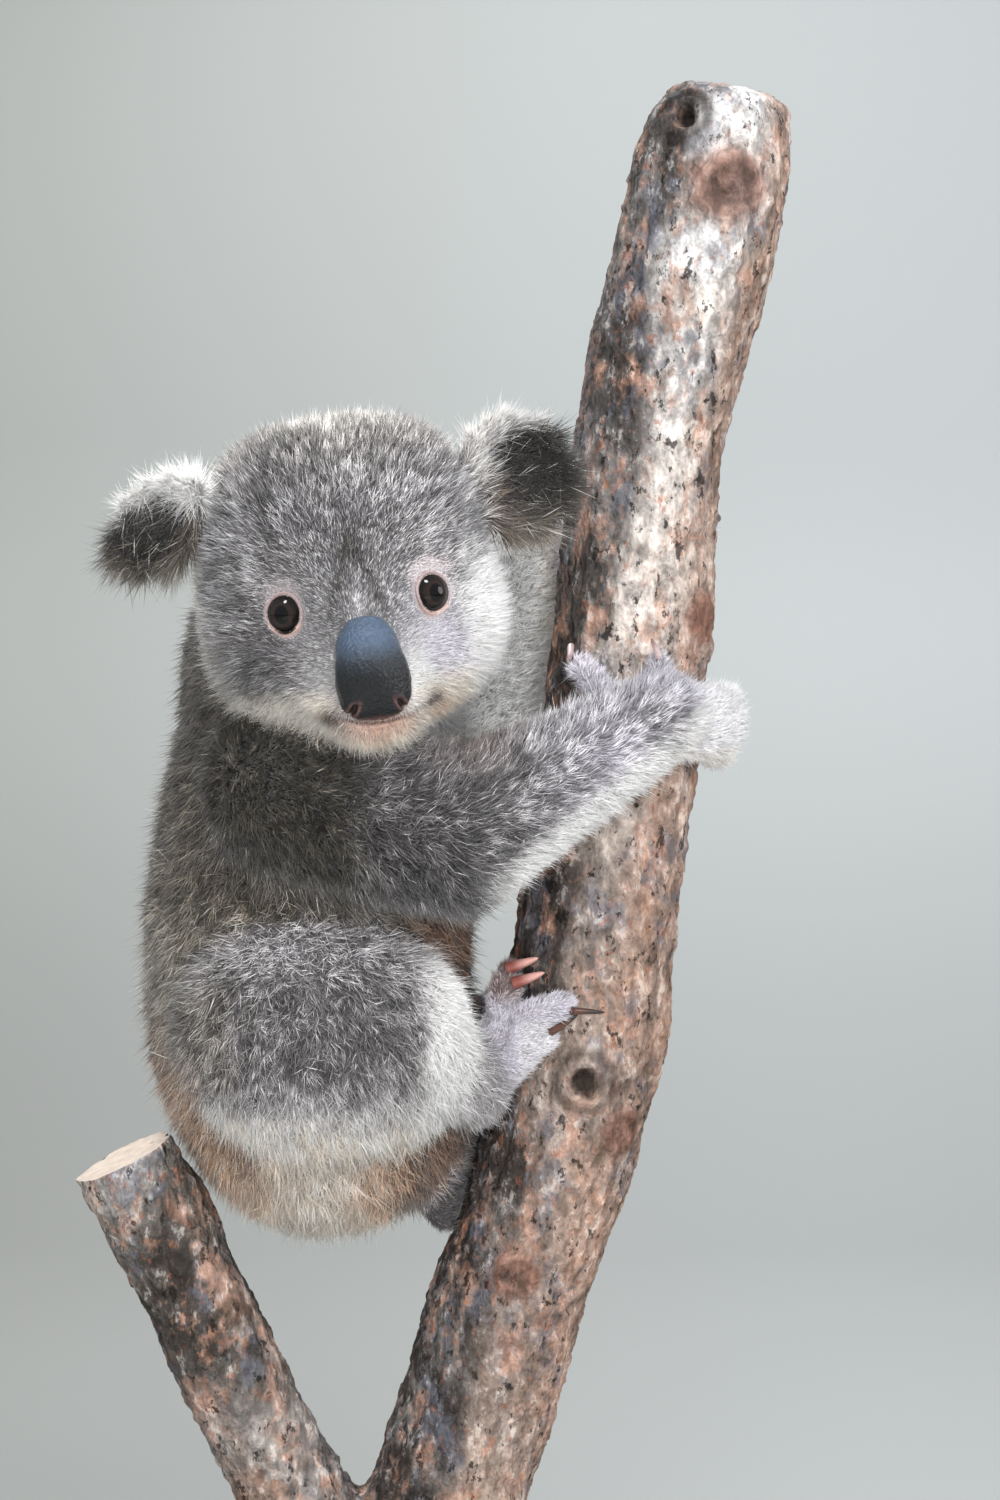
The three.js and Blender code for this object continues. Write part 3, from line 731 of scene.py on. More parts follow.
def combed(points, normals, share):
    """Which way the fur lies along the skin at each point."""
    skull = belongs(share, "head")[:, None]
    from_nose = unit(points - head.outside(np.array((0, -56, -22)) * MM))
    way = comb(share, WAY) * (1 - skull) + from_nose * skull
    for side, ear in ears.items():
        own = belongs(share, f"ear_{side}")[:, None]
        fan = unit(ear.inside(points) + np.array((16, 3, 4)) * MM) @ ear.axes
        way = way * (1 - own) + (fan - (0, 0, 0.3)) * own
    return unit(way - normals * (way * normals).sum(1, keepdims=True))


def coat_plan(points, share):
    """For each point of the skin, its fur's length and its tufts' width, closeness and lift."""
    length = fur_length(points, share)
    width, close, lift = (comb(share, column) for column in (WIDTH, CLOSE, LIFT))
    local = head.inside(points) / MM
    skull = belongs(share, "head")
    face = skull * np.minimum(1.35 * blob(local, (0, -42, -10), (32, 28, 36)), 1)
    width *= 1 - 0.28 * face
    lift -= 6 * face
    close *= 1 + 0.75 * face
    close *= 1 - 0.45 * skull * ramp(local[:, 1], 4, 24)
    for eye in eyes.values():
        rim = lid_rim(eye, points)
        close *= ramp(rim, 1.07, 1.18)
        length *= 0.26 + 0.74 * ramp(rim, 1.1, 2.7)
    above, beside = off_mouth(local)
    close *= 1 - skull * beside * np.exp(-((above / 0.95) ** 4))
    length *= 1 + 0.5 * skull * beside * ramp(above, -2, -5)
    under_nose = skull * blob(local, (1, -46, -38), (10, 9, 1.5))
    to_nose = distance_to(points, "nose")
    close *= 1 - np.maximum(skull * ramp(to_nose, 0.8 * MM, 0.3 * MM), np.minimum(1.8 * under_nose, 1))
    length *= 1 - 0.3 * skull * ramp(to_nose, 6 * MM, 1.5 * MM)
    close *= 1 + 0.6 * skull * ramp(to_nose, 4 * MM, 1 * MM)
    to_bark = distance_to(points, "perch_limb", "perch_stub")
    close *= 1 - belongs(share, "hand", "foot") * ramp(to_bark, 3.2 * MM, 1.6 * MM)
    return length, width, close, lift


class Tufts:
    """Fur rooted in the skin, as thin closed spikes with three corners at the root and one at the tip."""

    FACES = np.array([(0, 2, 1), (0, 1, 3), (1, 2, 3), (2, 0, 3)])
    CORNERS = [(math.sin(angle), math.cos(angle)) for angle in map(math.radians, (0, 120, 240))]
    SPOTS = np.array([(-1, -1), (1, -1), (0, -0.4), (0, 1)]) * 0.0015  # on the map, round the tuft's place
    SUNK = 0.4  # how far the root lies under the skin, in mm

    def __init__(self, **values):
        self.__dict__.update(values)

    def chosen(self, ids):
        return Tufts(**{name: value[ids] for name, value in self.__dict__.items()})

    def mesh(self, name):
        """The tufts one after another, with their shades and their places on the map."""
        sideways = unit(np.cross(self.up, self.run))
        lift = self.lift[:, None]
        rising = self.run * np.cos(lift) + self.up * np.sin(lift)
        upright = np.cross(rising, sideways)
        base = self.root - self.up * self.SUNK * MM
        corners = [
            base + (sideways * across + upright * along) * self.width[:, None] / 2
            for along, across in self.CORNERS
        ]
        corners.append(base + rising * self.length[:, None] + self.pull)
        corners = np.stack(corners, 1).reshape(-1, 3)
        faces = (self.FACES[None] + 4 * np.arange(len(base))[:, None, None]).reshape(-1, 3)
        shade = np.column_stack([self.root_tone, self.root_tone, self.root_tone, self.tip_tone])
        colours = np.clip(self.tone[:, None] * shade[:, :, None], 0, 1).reshape(-1, 3)
        spots = (self.spot[:, None] + self.SPOTS[None]).reshape(-1, 2)
        made = bpy.data.meshes.new(name)
        made.vertices.add(len(corners))
        made.vertices.foreach_set("co", corners.ravel())
        made.loops.add(faces.size)
        made.loops.foreach_set("vertex_index", faces.ravel())
        made.polygons.add(len(faces))
        made.polygons.foreach_set("loop_start", np.arange(0, faces.size, 3))
        made.shade_smooth()
        made.update()
        tint(made, colours)
        made.uv_layers.new(name="OFBake").uv.foreach_set("vector", spots[faces.ravel()].ravel())
        return made


def unwrapped(points, owner, tiles):
    """Each point's place on a flat map of the skin: a tile for each node, laid out round its middle."""
    places = np.empty((len(points), 2))
    for tile, k in enumerate(tiles):
        own = owner == k
        around = unit((points[own] - middle(FLESH[k])) / half_size(FLESH[k]))
        turn = np.arctan2(around[:, 1], around[:, 0]) / math.tau + 0.5
        places[own] = np.column_stack([(tile + 0.01 + 0.98 * turn) / len(tiles), 0.5 + 0.49 * around[:, 2]])
    return places


def grow_coat(skin, share, material):
    """Roots tufts all over the skin and returns the coat's pieces."""
    rng = np.random.default_rng(41)
    normals = skin.normals()
    lie = skin.evened(combed(skin.points, normals, share), 6)
    length, width, close, lift = coat_plan(skin.points, share)
    a, b, c = skin.faces.T
    area = np.linalg.norm(skin.crosses(), axis=1) / 2
    wanted = area / MM ** 2 * (close[a] + close[b] + close[c]) / 3 * 1
    count = np.floor(wanted + rng.random(len(wanted))).astype(int)
    face = np.repeat(np.arange(len(count)), count)
    mix = rng.dirichlet((1, 1, 1), len(face))[:, :, None]

    def at(values):
        """Values of the skin's points at the tufts' roots."""
        found = (values.reshape(len(skin.points), -1)[skin.faces[face]] * mix).sum(1)
        return found if values.ndim > 1 else found[:, 0]

    def along_skin(ways):
        return ways - up * (ways * up).sum(1, keepdims=True)

    roots, up, run = at(skin.points), unit(at(normals)), at(lie)
    size = at(length)
    # Body fur is woolly, but a long fringe or the short fur of the face lies straighter
    woolly = (ramp(size, 15 * MM, 9 * MM) * (0.35 + 0.65 * ramp(size, 3 * MM, 5 * MM)))[:, None]
    centre, lot = clumps(roots, (0.55 * MM + 0.17 * size)[:, None], 3)
    run = run + (lot * 2 - 1) * 0.8 * woolly + rng.normal(size=run.shape) * 0.28
    run = unit(along_skin(run))
    towards = along_skin(centre - roots)
    size = size * rng.uniform(0.72, 1.12, len(face)) * (0.85 + 0.3 * lot[:, 0])

    tone = markings_and_shading(roots, at(share))
    pale = ramp(tone.mean(1), 0.2, 0.62)
    speckled = belongs(share, "head", "forearm", "upper_arm") + 0.85 * belongs(share, "thigh", "trunk")
    flecked = belongs(share, "head") * ramp(head.inside(skin.points)[:, 2] / MM, -14, 0)
    darker = 0.26 * at(belongs(share, "trunk", "neck", "upper_arm", "forearm"))
    contrast = (0.58 + 0.5 * at(speckled) + 0.4 * at(flecked)) * (1 - 0.7 * pale)
    patchy = layered(roots, 3.4 * MM, 2, 17) * ramp(size, 2.5 * MM, 5 * MM)
    shade = (lot[:, 1] - 0.5) * 1.6 + 0.8 * patchy + rng.normal(size=len(face)) * 0.6
    wild = rng.random(len(face)) < 0.08 * ramp(size, 3 * MM, 4.5 * MM) * ramp(size, 11 * MM, 9 * MM)
    size = size * (1 + 0.35 * wild)
    stray = (rng.random(len(face)) < 0.04 * at(belongs(share, "ear")))[:, None]
    tone = np.where(stray, linear(COAT["cream"]) * 0.62, tone)
    width = at(width) * MM * rng.uniform(0.75, 1.25, len(face)) * (1 - 0.25 * wild)
    lift = at(lift) + 10 * rng.normal(size=len(face)) + 14 * (lot[:, 2] - 0.5) + 16 * wild
    tufts = Tufts(
        root=roots, up=up, run=run, length=size, width=width,
        lift=np.radians(lift).clip(0.08, 1.35),
        pull=towards * rng.uniform(0.35, 0.8, len(face))[:, None],
        tone=tone * np.exp(contrast * (shade - darker))[:, None],
        root_tone=0.5 + 0.22 * pale,
        tip_tone=np.exp((0.42 - 0.3 * pale) * rng.normal(size=len(face)) + 0.3 + 0.3 * wild),
    )
    owner = share.argmax(1)[a][face]
    pieces = []
    for name, parts in COAT_PIECES.items():
        ids = [FLESH.index(part) for part in parts]
        own = np.flatnonzero(np.isin(owner, ids))
        parted = math.ceil(len(own) * len(Tufts.FACES) / LARGEST_PIECE)
        if parted > 1:
            own = own[np.argsort(roots[own] @ np.array((0.2, 0.3, -1)), kind="stable")]
        for k, chosen in enumerate(np.array_split(own, parted)):
            some = tufts.chosen(chosen)
            some.spot = unwrapped(roots[chosen], owner[chosen], ids)
            label = f"coat_{name}" if parted == 1 else f"coat_{name}_{k + 1}"
            pieces.append(add_object(label, some.mesh(label), material))
    return pieces


# ---------------------------------------------------------------- materials

def put(socket, value):
    """Gives a node's input a value, or links another node's output to it."""
    if isinstance(value, bpy.types.NodeSocket):
        socket.id_data.links.new(value, socket)
    else:
        socket.default_value = value


def node(tree, kind, *inputs, **values):
    """A shader node with its first inputs given in order, and its properties and other inputs by name."""
    made = tree.nodes.new("ShaderNode" + kind)
    for name, value in values.items():
        if hasattr(made, name):
            setattr(made, name, value)
        else:
            put(made.inputs[name.replace("_", " ")], value)
    for socket, value in zip(made.inputs, inputs):
        put(socket, value)
    return made


def spread(tree, value, low, high, least=0.0, most=1.0, **values):
    """A value taken from between low and high to between least and most."""
    return node(tree, "MapRange", value, low, high, least, most, **values).outputs["Result"]


def mixed(tree, amount, first, second):
    """A colour between two, each of them a socket or a colour as it looks on a screen."""
    mix = node(tree, "Mix", amount, data_type="RGBA")
    for socket, colour in ((mix.inputs[6], first), (mix.inputs[7], second)):
        put(socket, (*linear(colour), 1) if isinstance(colour, tuple) else colour)
    return mix.outputs[2]


def fine_grain():
    """Fine grain for bare surfaces: a height, and a mask from the same noise, so that the mask rises and
    falls with the height.
    """
    group = bpy.data.node_groups.new("fine_grain", "ShaderNodeTree")
    for name, way, kind, value in (
        ("Size", "INPUT", "Float", 900),
        ("Stretch", "INPUT", "Vector", (1, 1, 1)),
        ("Height", "OUTPUT", "Float", 0),
        ("Mask", "OUTPUT", "Float", 0),
    ):
        socket = group.interface.new_socket(name, in_out=way, socket_type="NodeSocket" + kind)
        socket.default_value = value
    given = group.nodes.new("NodeGroupInput").outputs
    result = group.nodes.new("NodeGroupOutput").inputs
    place = node(group, "TexCoord").outputs["Object"]
    place = node(group, "VectorMath", place, given["Stretch"], operation="MULTIPLY").outputs[0]
    noise = node(group, "TexNoise", Vector=place, Scale=given["Size"], Detail=5.0, Roughness=0.62)
    cells = node(group, "TexVoronoi", Vector=place, Scale=given["Size"])
    both = node(group, "Math", noise.outputs["Fac"], cells.outputs["Distance"], operation="ADD")
    put(result["Height"], both.outputs[0])
    put(result["Mask"], noise.outputs["Fac"])
    return group


GRAIN = fine_grain()


def new_material(name, roughness, **sockets):
    made = bpy.data.materials.new(name)
    made.use_nodes = True
    shader = made.node_tree.nodes["Principled BSDF"]
    shader.inputs["Roughness"].default_value = roughness
    for socket, value in sockets.items():
        shader.inputs[socket.replace("_", " ")].default_value = value
    return made, made.node_tree, shader


def shaded(tree, shader, colour, mask, dark, light):
    """Base colour: a colour socket darkened and lightened by a mask."""
    strength = spread(tree, mask, 0.0, 1.0, dark, light)
    mix = node(tree, "VectorMath", colour, operation="SCALE", Scale=strength)
    put(shader.inputs["Base Color"], mix.outputs[0])


def bump(tree, shader, height, strength, distance):
    made = node(tree, "Bump", Strength=strength, Distance=distance, Height=height)
    put(shader.inputs["Normal"], made.outputs["Normal"])


def grained(name, roughness, colour, size, tones, relief=None, stretch=(1, 1, 1), **sockets):
    """A finish with fine grain in its colour and, where relief gives a strength and a depth, in its surface.

    The colour is the name of a mesh's attribute, or one colour as it looks on a screen.
    """
    made, tree, shader = new_material(name, roughness, **sockets)
    if isinstance(colour, str):
        ground = node(tree, "Attribute", attribute_name=colour).outputs["Color"]
    else:
        ground = node(tree, "RGB").outputs[0]
        ground.default_value = (*linear(colour), 1)
    grain = node(tree, "Group", node_tree=GRAIN, Size=size, Stretch=stretch)
    shaded(tree, shader, ground, grain.outputs["Mask"], *tones)
    if relief:
        bump(tree, shader, grain.outputs["Height"], *relief)
    return made


# ---------------------------------------------------------------- eyes, nose and claws

def new_ball(across, along):
    """A unit ball's mesh, and its points."""
    form = bmesh.new()
    bmesh.ops.create_uvsphere(form, u_segments=across, v_segments=along, radius=1)
    mesh = mesh_of(form, "ball")
    return mesh, numbers(mesh.vertices, "co", 3)


def painted(name, mesh, points, paint, attribute, material):
    """A smooth piece from a mesh whose points have been moved and coloured."""
    mesh.name = name
    mesh.vertices.foreach_set("co", points.ravel())
    mesh.shade_smooth()
    mesh.update()
    tint(mesh, paint.colour, attribute)
    return add_object(name, mesh, material)


def make_eye(side, material):
    """A wet eyeball: dark brown iris with a tall pupil, under a slightly bulging cornea."""
    mesh, ball = new_ball(96, 64)
    off_middle = np.linalg.norm(ball[:, :2], axis=1)
    front = ball[:, 2] > 0
    bulge = 1 + 0.04 * ramp(off_middle, 0.75, 0.2) * front
    points = eyes[side].centre + (ball * bulge[:, None] * EYE_RADIUS * 0.985) @ eyes[side].axes
    round_pupil = np.arctan2(ball[:, 1], ball[:, 0])
    rays = 0.12 * mottle(np.column_stack([round_pupil * 6, off_middle * 1.5, ball[:, 2] * 0]), 1, 5)
    pupil = np.linalg.norm(ball[:, :2] / (0.33, 0.43), axis=1)
    paint = Paint(ball, (32, 24, 22))
    paint.lay((48, 33, 26), ramp(off_middle, 0.58, 0.3) * (0.3 + 2 * rays))
    paint.lay((15, 11, 11), ramp(off_middle, 0.52, 0.68))
    paint.lay((6, 5, 6), ramp(pupil, 1.12, 0.9) * front)
    paint.lay((15, 11, 11), 1.0 - front)
    return painted(f"eyeball_{side}", mesh, points, paint, "eye_colour", material)


def make_nose(material):
    """The bare nose pad, with a nostril at each lower corner and a crease between them."""
    low = bmesh.new()
    bmesh.ops.create_icosphere(low, subdivisions=3, radius=1)
    for corner in low.verts:
        corner.co = head.outside((np.array(corner.co) * (7.4, 6, 6.6) + (0.4, -50.2, -30.6)) * MM)
    nose = recast([node_copy("nose", 0.35 * MM), low], 0.45 * MM)
    nose.relax(220, 1.0)
    nose.points = nose.evened(nose.points, 14, 0.5)
    local = head.inside(nose.points) / MM
    x, y, z = local.T
    front = ramp(y, -42, -47)
    slit = np.hypot((np.abs(x) - 7.2 + 0.45 * (z + 32.4)) / 1.0, (z + 32.4) / 1.9)
    hole = ramp(slit, 1.2, 0.5) * ramp(y, -42, -46)
    rim = hump(slit, 1.6, 0.5) * front
    crease = hump(x, 0, 0.8) * ramp(z, -34, -37) * front
    swollen = 0.7 * blob(local, (0, -56, -24), (9, 9, 11))
    relief = swollen - 1.2 * hole + 0.35 * rim - 0.4 * crease
    nose.points += nose.normals() * (relief * MM)[:, None]
    paint = Paint(local, (40, 45, 52))
    # The top is painted lighter and bluer: a painted reflection of the light from above on the blue-black
    # leather.
    paint.lay((74, 90, 110), 0.9 * ramp(z, -20, -11))
    paint.lay((19, 20, 21), 0.9 * ramp(z, -16, -24))
    paint.lay((120, 88, 83), 0.55 * rim * ramp(z, -28, -32))
    paint.lay((40, 24, 23), hole)
    paint.lay((110, 76, 72), 0.7 * ramp(z, -34.5, -36.5))
    return painted("nose_pad", nose.mesh, nose.points, paint, "nose_colour", material)


# Kinds of claw: colour at the root and the tip, half its breadth in mm, and its share of the frame's length
CLAWS = {
    "dark": ((78, 50, 40), (40, 31, 28), 1.5, 1.0),
    "rosy": ((124, 70, 64), (190, 146, 138), 2.5, 0.84),
    "pale": ((170, 150, 150), (120, 100, 98), 1.2, 1.0),
}
KINDS = {
    "claw_foot_right_1": "rosy",
    "claw_foot_right_2": "rosy",
    "claw_hand_right_1": "pale",
    "claw_hand_right_2": "pale",
}


def make_claw(name, material):
    """A smooth hooked claw where the frame has one, from its root in the toe to its blunt tip on the bark."""
    root_colour, tip_colour, broad, long = CLAWS[KINDS.get(name, "dark")]
    points = numbers(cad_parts[name].data.vertices, "co", 3)
    centre = points.mean(0)
    paw = middle("_".join(name.split("_")[1:3]))
    axis = unit(np.linalg.svd(points - centre, full_matrices=False)[2][0])
    axis *= np.sign(axis @ (centre - paw))
    along = (points - centre) @ axis
    root = points[along < np.quantile(along, 0.25)].mean(0) - axis * 1.5 * MM
    tip = root + (points[along.argmax()] - root) * long
    knee = points[np.abs(along - along.mean()) < 0.3 * np.ptp(along)].mean(0)
    mesh, ball = new_ball(24, 24)
    t = (ball[:, 2:] + 1) / 2
    spine = root * (1 - t) ** 2 + (2 * knee - (root + tip) / 2) * 2 * t * (1 - t) + tip * t ** 2
    side = unit(np.cross(axis, unit(knee - (root + tip) / 2) + (0.01, 0.02, 0.03)))
    up = np.cross(side, axis)
    around = np.linalg.norm(ball[:, :2], axis=1, keepdims=True)
    ring = unit(ball[:, :2]) * np.minimum(around * 2.4, 1)
    radius = broad * MM * np.sqrt(1 - t ** 3) * (1 - 0.3 * t) + 0.05 * MM
    points = spine + (ring[:, :1] * side * 0.85 + ring[:, 1:] * up) * radius
    paint = Paint(points, root_colour)
    paint.lay(tip_colour, ramp(t[:, 0], 0.35, 0.85))
    return painted(name + "_horn", mesh, points, paint, "claw_colour", material)


# ---------------------------------------------------------------- branch

LOGS = ("perch_limb", "perch_stub")
BARK_CELL = 1.32 * MM

# Patches in the bark: colour, their noise's scale and detail, where in it they start and are full, strength
FLAKES = (
    ((226, 222, 219), 50, 9.0, 0.50, 0.62, 0.3),
    ((116, 119, 131), 70, 9.0, 0.53, 0.60, 0.6),
    ((190, 144, 120), 100, 8.0, 0.51, 0.60, 0.62),
    ((236, 231, 226), 210, 5.0, 0.57, 0.64, 0.26),
    ((164, 108, 84), 260, 5.0, 0.59, 0.64, 0.6),
    ((40, 36, 35), 250, 4.0, 0.58, 0.63, 0.85),
)

# Knots in the limb: height in mm, angle round it in degrees, then radius, swelling and depth in mm
KNOTS = (
    (549, 13, 13, 2.6, 1.4),
    (571, -30, 6.5, 1.6, 5.0),
    (269, 4, 8, 3.0, 5.5),
    (207, -4, 8, 1.4, 1.0),
    (252, 42, 8, 2.5, 0.0),
    (414, 62, 9, 1.6, 0.0),
    (455, 165, 10, 2.2, 2.5),
    (330, -150, 9, 2.0, 1.5),
    (150, 120, 12, 2.2, 2.0),
)


def bark_material():
    """Thin flaking bark: ragged patches of white, grey and rust over tan, lumpy and pitted, with painted
    shade in the low places of the lumps.
    """
    made, tree, shader = new_material("bark", 0.88, Specular_IOR_Level=0.2)
    place = node(tree, "TexCoord").outputs["Object"]
    place = node(tree, "VectorMath", place, (1, 1, 0.6), operation="MULTIPLY").outputs[0]
    plain = colour = node(tree, "Attribute", attribute_name="bark_colour").outputs["Color"]
    for rgb, size, detail, low, high, most in FLAKES:
        noise = node(
            tree, "TexNoise", Vector=place, Scale=size, Detail=detail, Roughness=0.72, Distortion=0.1
        )
        colour = mixed(tree, spread(tree, noise.outputs["Fac"], low, high, 0.0, most), colour, rgb)
    # Knots and hollows keep their ground colour, with the painted shade in the hollows, free of the flakes.
    kept = node(tree, "Attribute", attribute_name="bark_plain").outputs["Fac"]
    colour = mixed(tree, kept, colour, plain)
    lumps = node(tree, "TexNoise", Vector=place, Scale=210, Detail=7.0, Roughness=0.66, Distortion=0.2)
    lumps = lumps.outputs["Fac"]
    fine = node(tree, "Group", node_tree=GRAIN, Size=620, Stretch=(1, 1, 0.7)).outputs["Height"]
    height = node(tree, "Math", fine, 0.22, lumps, operation="MULTIPLY_ADD").outputs[0]
    # Darker in the lumps' low places and lighter on their tops, following the bump: painted shade and light.
    shaded(tree, shader, colour, spread(tree, lumps, 0.4, 0.62), 0.5, 1.22)
    bump(tree, shader, height, 1.0, 0.004)
    return made


def sawn_plane(name):
    """The middle and outward normal of a log's sawn end, its largest flat face."""
    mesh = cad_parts[name].data
    areas = numbers(mesh.polygons, "area", 1)[:, 0]
    normals = numbers(mesh.polygons, "normal", 3)
    middles = numbers(mesh.polygons, "center", 3)
    group = np.unique(np.round(normals, 2), axis=0, return_inverse=True)[1].ravel()
    flat = np.flatnonzero(group == np.bincount(group, areas).argmax())
    return np.average(middles[flat], axis=0, weights=areas[flat]), unit(normals[flat].mean(0))


def on_limb(height, angle):
    """The point on the limb's bark at a height and at an angle from the front towards +x."""
    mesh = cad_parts["perch_limb"].data
    ends = numbers(mesh.vertices, "co", 3)[numbers(mesh.edges, "vertices", 2, np.int32)]
    low, high = ends[:, 0], ends[:, 1]
    crossing = (low[:, 2] - height) * (high[:, 2] - height) < 0
    low, high = low[crossing], high[crossing]
    cut = low + (high - low) * ((height - low[:, 2]) / (high[:, 2] - low[:, 2]))[:, None]
    centre = (cut.min(0) + cut.max(0)) / 2
    out = np.array((math.sin(math.radians(angle)), -math.cos(math.radians(angle)), 0))
    return centre + out * np.ptp(cut[:, 1]) / 2


def carve_bark(bark):
    """Gives the bark its flakes, pits and knots, and returns its relief, knots and hollows as columns."""
    limb_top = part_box("perch_limb")[1][2]
    top = ramp(bark.points[:, 2], limb_top - 14 * MM, limb_top - 4 * MM)
    bark.points = bark.evened(bark.points, 60, top[:, None])
    points = bark.points
    long = points * (1, 1, 0.7)
    flakes = ramp(layered(long, 11 * MM, 4, 50), -0.06, 0.10)
    scales = ramp(layered(long, 6 * MM, 3, 61), 0.05, 0.22)
    pits = ramp(layered(points, 3.6 * MM, 2, 71), 0.55, 0.95)
    broad = layered(points * (1, 1, 0.5), 34 * MM, 2, 80)
    fine = layered(points, 3 * MM, 2, 90)
    height = 0.6 * flakes + 0.5 * scales - 1.0 * pits + 1.2 * broad + 0.55 * fine - 0.7
    knot, hollow, ring = np.zeros((3, len(points)))
    for z, angle, radius, swell, depth in KNOTS:
        off = np.linalg.norm(points - on_limb(z * MM, angle), axis=1) / (radius * MM)
        off = off + 0.12 * mottle(points, 4 * MM, int(z))
        height += swell * hump(off, 0, 1) - depth * ramp(off, 0.75, 0.3)
        height += 0.35 * np.cos(off * 9) * ramp(off, 1.9, 0.9)
        knot = np.maximum(knot, ramp(off, 1.25, 0.7) * (depth < 3))
        hollow = np.maximum(hollow, ramp(off, 0.8, 0.4) * min(depth / 2.5, 1))
        ring = np.maximum(ring, hump(off, 1.15, 0.3) * (depth > 3))
    bark.points = points + bark.normals() * (height * MM)[:, None]
    return np.column_stack([flakes - pits, knot, np.maximum(hollow, 0.75 * ring)])


def saw_ends(form):
    """Cuts both logs off flat and closes their ends with faces in the second material."""
    for name in LOGS:
        end, out = sawn_plane(name)
        near = [v for v in form.verts if (v.co - Vector(end)).length < 60 * MM]
        geometry = near + list({edge for v in near for edge in v.link_edges})
        geometry += list({face for v in near for face in v.link_faces})
        cut = bmesh.ops.bisect_plane(
            form, geom=geometry, plane_co=Vector(end - out * 1.2 * MM), plane_no=Vector(out), clear_outer=True
        )
        rim = [edge for edge in cut["geom_cut"] if isinstance(edge, bmesh.types.BMEdge)]
        for face in bmesh.ops.contextual_create(form, geom=rim)["faces"]:
            face.material_index = 1


def bark_paint(points, relief, knot, hollow):
    """The bark's ground colours: dark with painted shade on its left, rosy on its right, pale in patches high
    up, and darker in pits and hollows as painted shade.
    """
    x, y, z = points.T / MM
    paint = Paint(np.column_stack([x, z]), (224, 215, 208))
    lay = paint.lay
    lean = mottle(points * (1, 1, 0.6), 20 * MM, 31)
    high = ramp(z, 240, 500)
    limb = ramp(x + 0.2 * z, 0, 25)  # the main limb, not the side branch
    facing = np.degrees(np.arctan2(x - 0.186 * z - 5, -y)) * limb  # round the limb from the front, roughly
    left = ramp(facing + 14 * lean - 9 * (1 - high), -14, -40) * limb
    right = ramp(facing + 14 * lean, 6, 42) * limb
    lay((160, 139, 126), 0.9 * (1 - high))
    lay((172, 145, 130), 0.9 * right)
    # The limb's left side is painted dark: painted shade.
    lay((56, 54, 54), 0.92 * left)
    lay((70, 67, 64), 0.95 * (1 - limb))
    lay((168, 160, 155), 0.95 * (1 - limb) * ramp(z, 186, 150))
    lay((140, 112, 97), 0.7 * (1 - limb) * ramp(lean + mottle(points, 12 * MM, 35), 0.1, 0.7))
    bleached = 0.8 * (1 - left) * (1 - right) * ramp(z, 430, 520)
    lay((238, 238, 240), bleached * ramp(mottle(points, 16 * MM, 37), -0.4, 0.4))
    for place in ((-86, 239), (-4, 527)):
        lay((214, 208, 202), 0.8 * blob(paint.points, place, (14, 14)) * (1 - limb))
    lay((142, 100, 84), 0.85 * knot)
    # Darker where the relief is low, in pits and between flakes, and nearly black in the knots' hollows and
    # round the deep knots: painted shade.
    lay((72, 62, 57), 0.6 * ramp(relief, 0.35, -0.3))
    lay((34, 28, 26), 0.92 * hollow)
    return paint


def make_branch(*materials):
    """The limb and its sawn side branch, in flaking bark with knots."""
    bark = recast([node_copy(name, 0.2 * MM) for name in LOGS], BARK_CELL)
    bark.relax(60, 1.0)
    bark.points = bark.evened(bark.points, 12, 0.5)
    carved = carve_bark(bark)
    layer = bark.mesh.attributes.new("relief", "FLOAT_VECTOR", "POINT")
    layer.data.foreach_set("vector", carved.ravel())
    form = bark.form()
    saw_ends(form)
    mesh = mesh_of(form, "branch_bark")
    points = numbers(mesh.vertices, "co", 3)
    relief, knot, hollow = numbers(mesh.attributes["relief"].data, "vector", 3).T
    mesh.attributes.remove(mesh.attributes["relief"])
    paint = bark_paint(points, relief, knot, hollow)
    sawn = numbers(mesh.polygons, "material_index", 1, np.int32)[:, 0] == 1
    for face in np.flatnonzero(sawn).tolist():
        paint.colour[list(mesh.polygons[face].vertices)] = linear((196, 182, 170))
    tint(mesh, paint.colour, "bark_colour")
    # How far the knots, and the hollows with their painted shade, keep their ground colour in the material.
    tint(mesh, np.repeat(np.maximum(0.75 * knot, hollow)[:, None], 3, axis=1), "bark_plain")
    mesh.polygons.foreach_set("use_smooth", ~sawn)
    return add_object("branch_bark", mesh, *materials)


# ---------------------------------------------------------------- stand

def drop(edge):
    """How far an edge rises or falls."""
    return abs(edge.verts[0].co.z - edge.verts[1].co.z)


def ease(form, edges, radius, segments):
    """Rounds some of a bmesh's edges."""
    bmesh.ops.bevel(
        form, geom=edges, offset=radius, affect="EDGES", segments=segments, profile=0.5, material=-1
    )


def make_base():
    low, high = (np.array(corner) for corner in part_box("stand_base"))
    form = bmesh.new()
    bmesh.ops.create_cube(form, size=1)
    for corner in form.verts:
        corner.co = Vector((low + high) / 2 + np.array(corner.co) * (high - low))
    ease(form, [edge for edge in form.edges if drop(edge) > 1 * MM], 24 * MM, 14)
    ease(form, [edge for edge in form.edges if drop(edge) < 1e-6], 2.2 * MM, 4)
    paint = grained("matt_black_paint", 0.55, (46, 46, 48), 1500, (0.8, 1.25), (0.12, 0.0003))
    return add_object("stand_plate", mesh_of(form, "stand_plate"), paint)


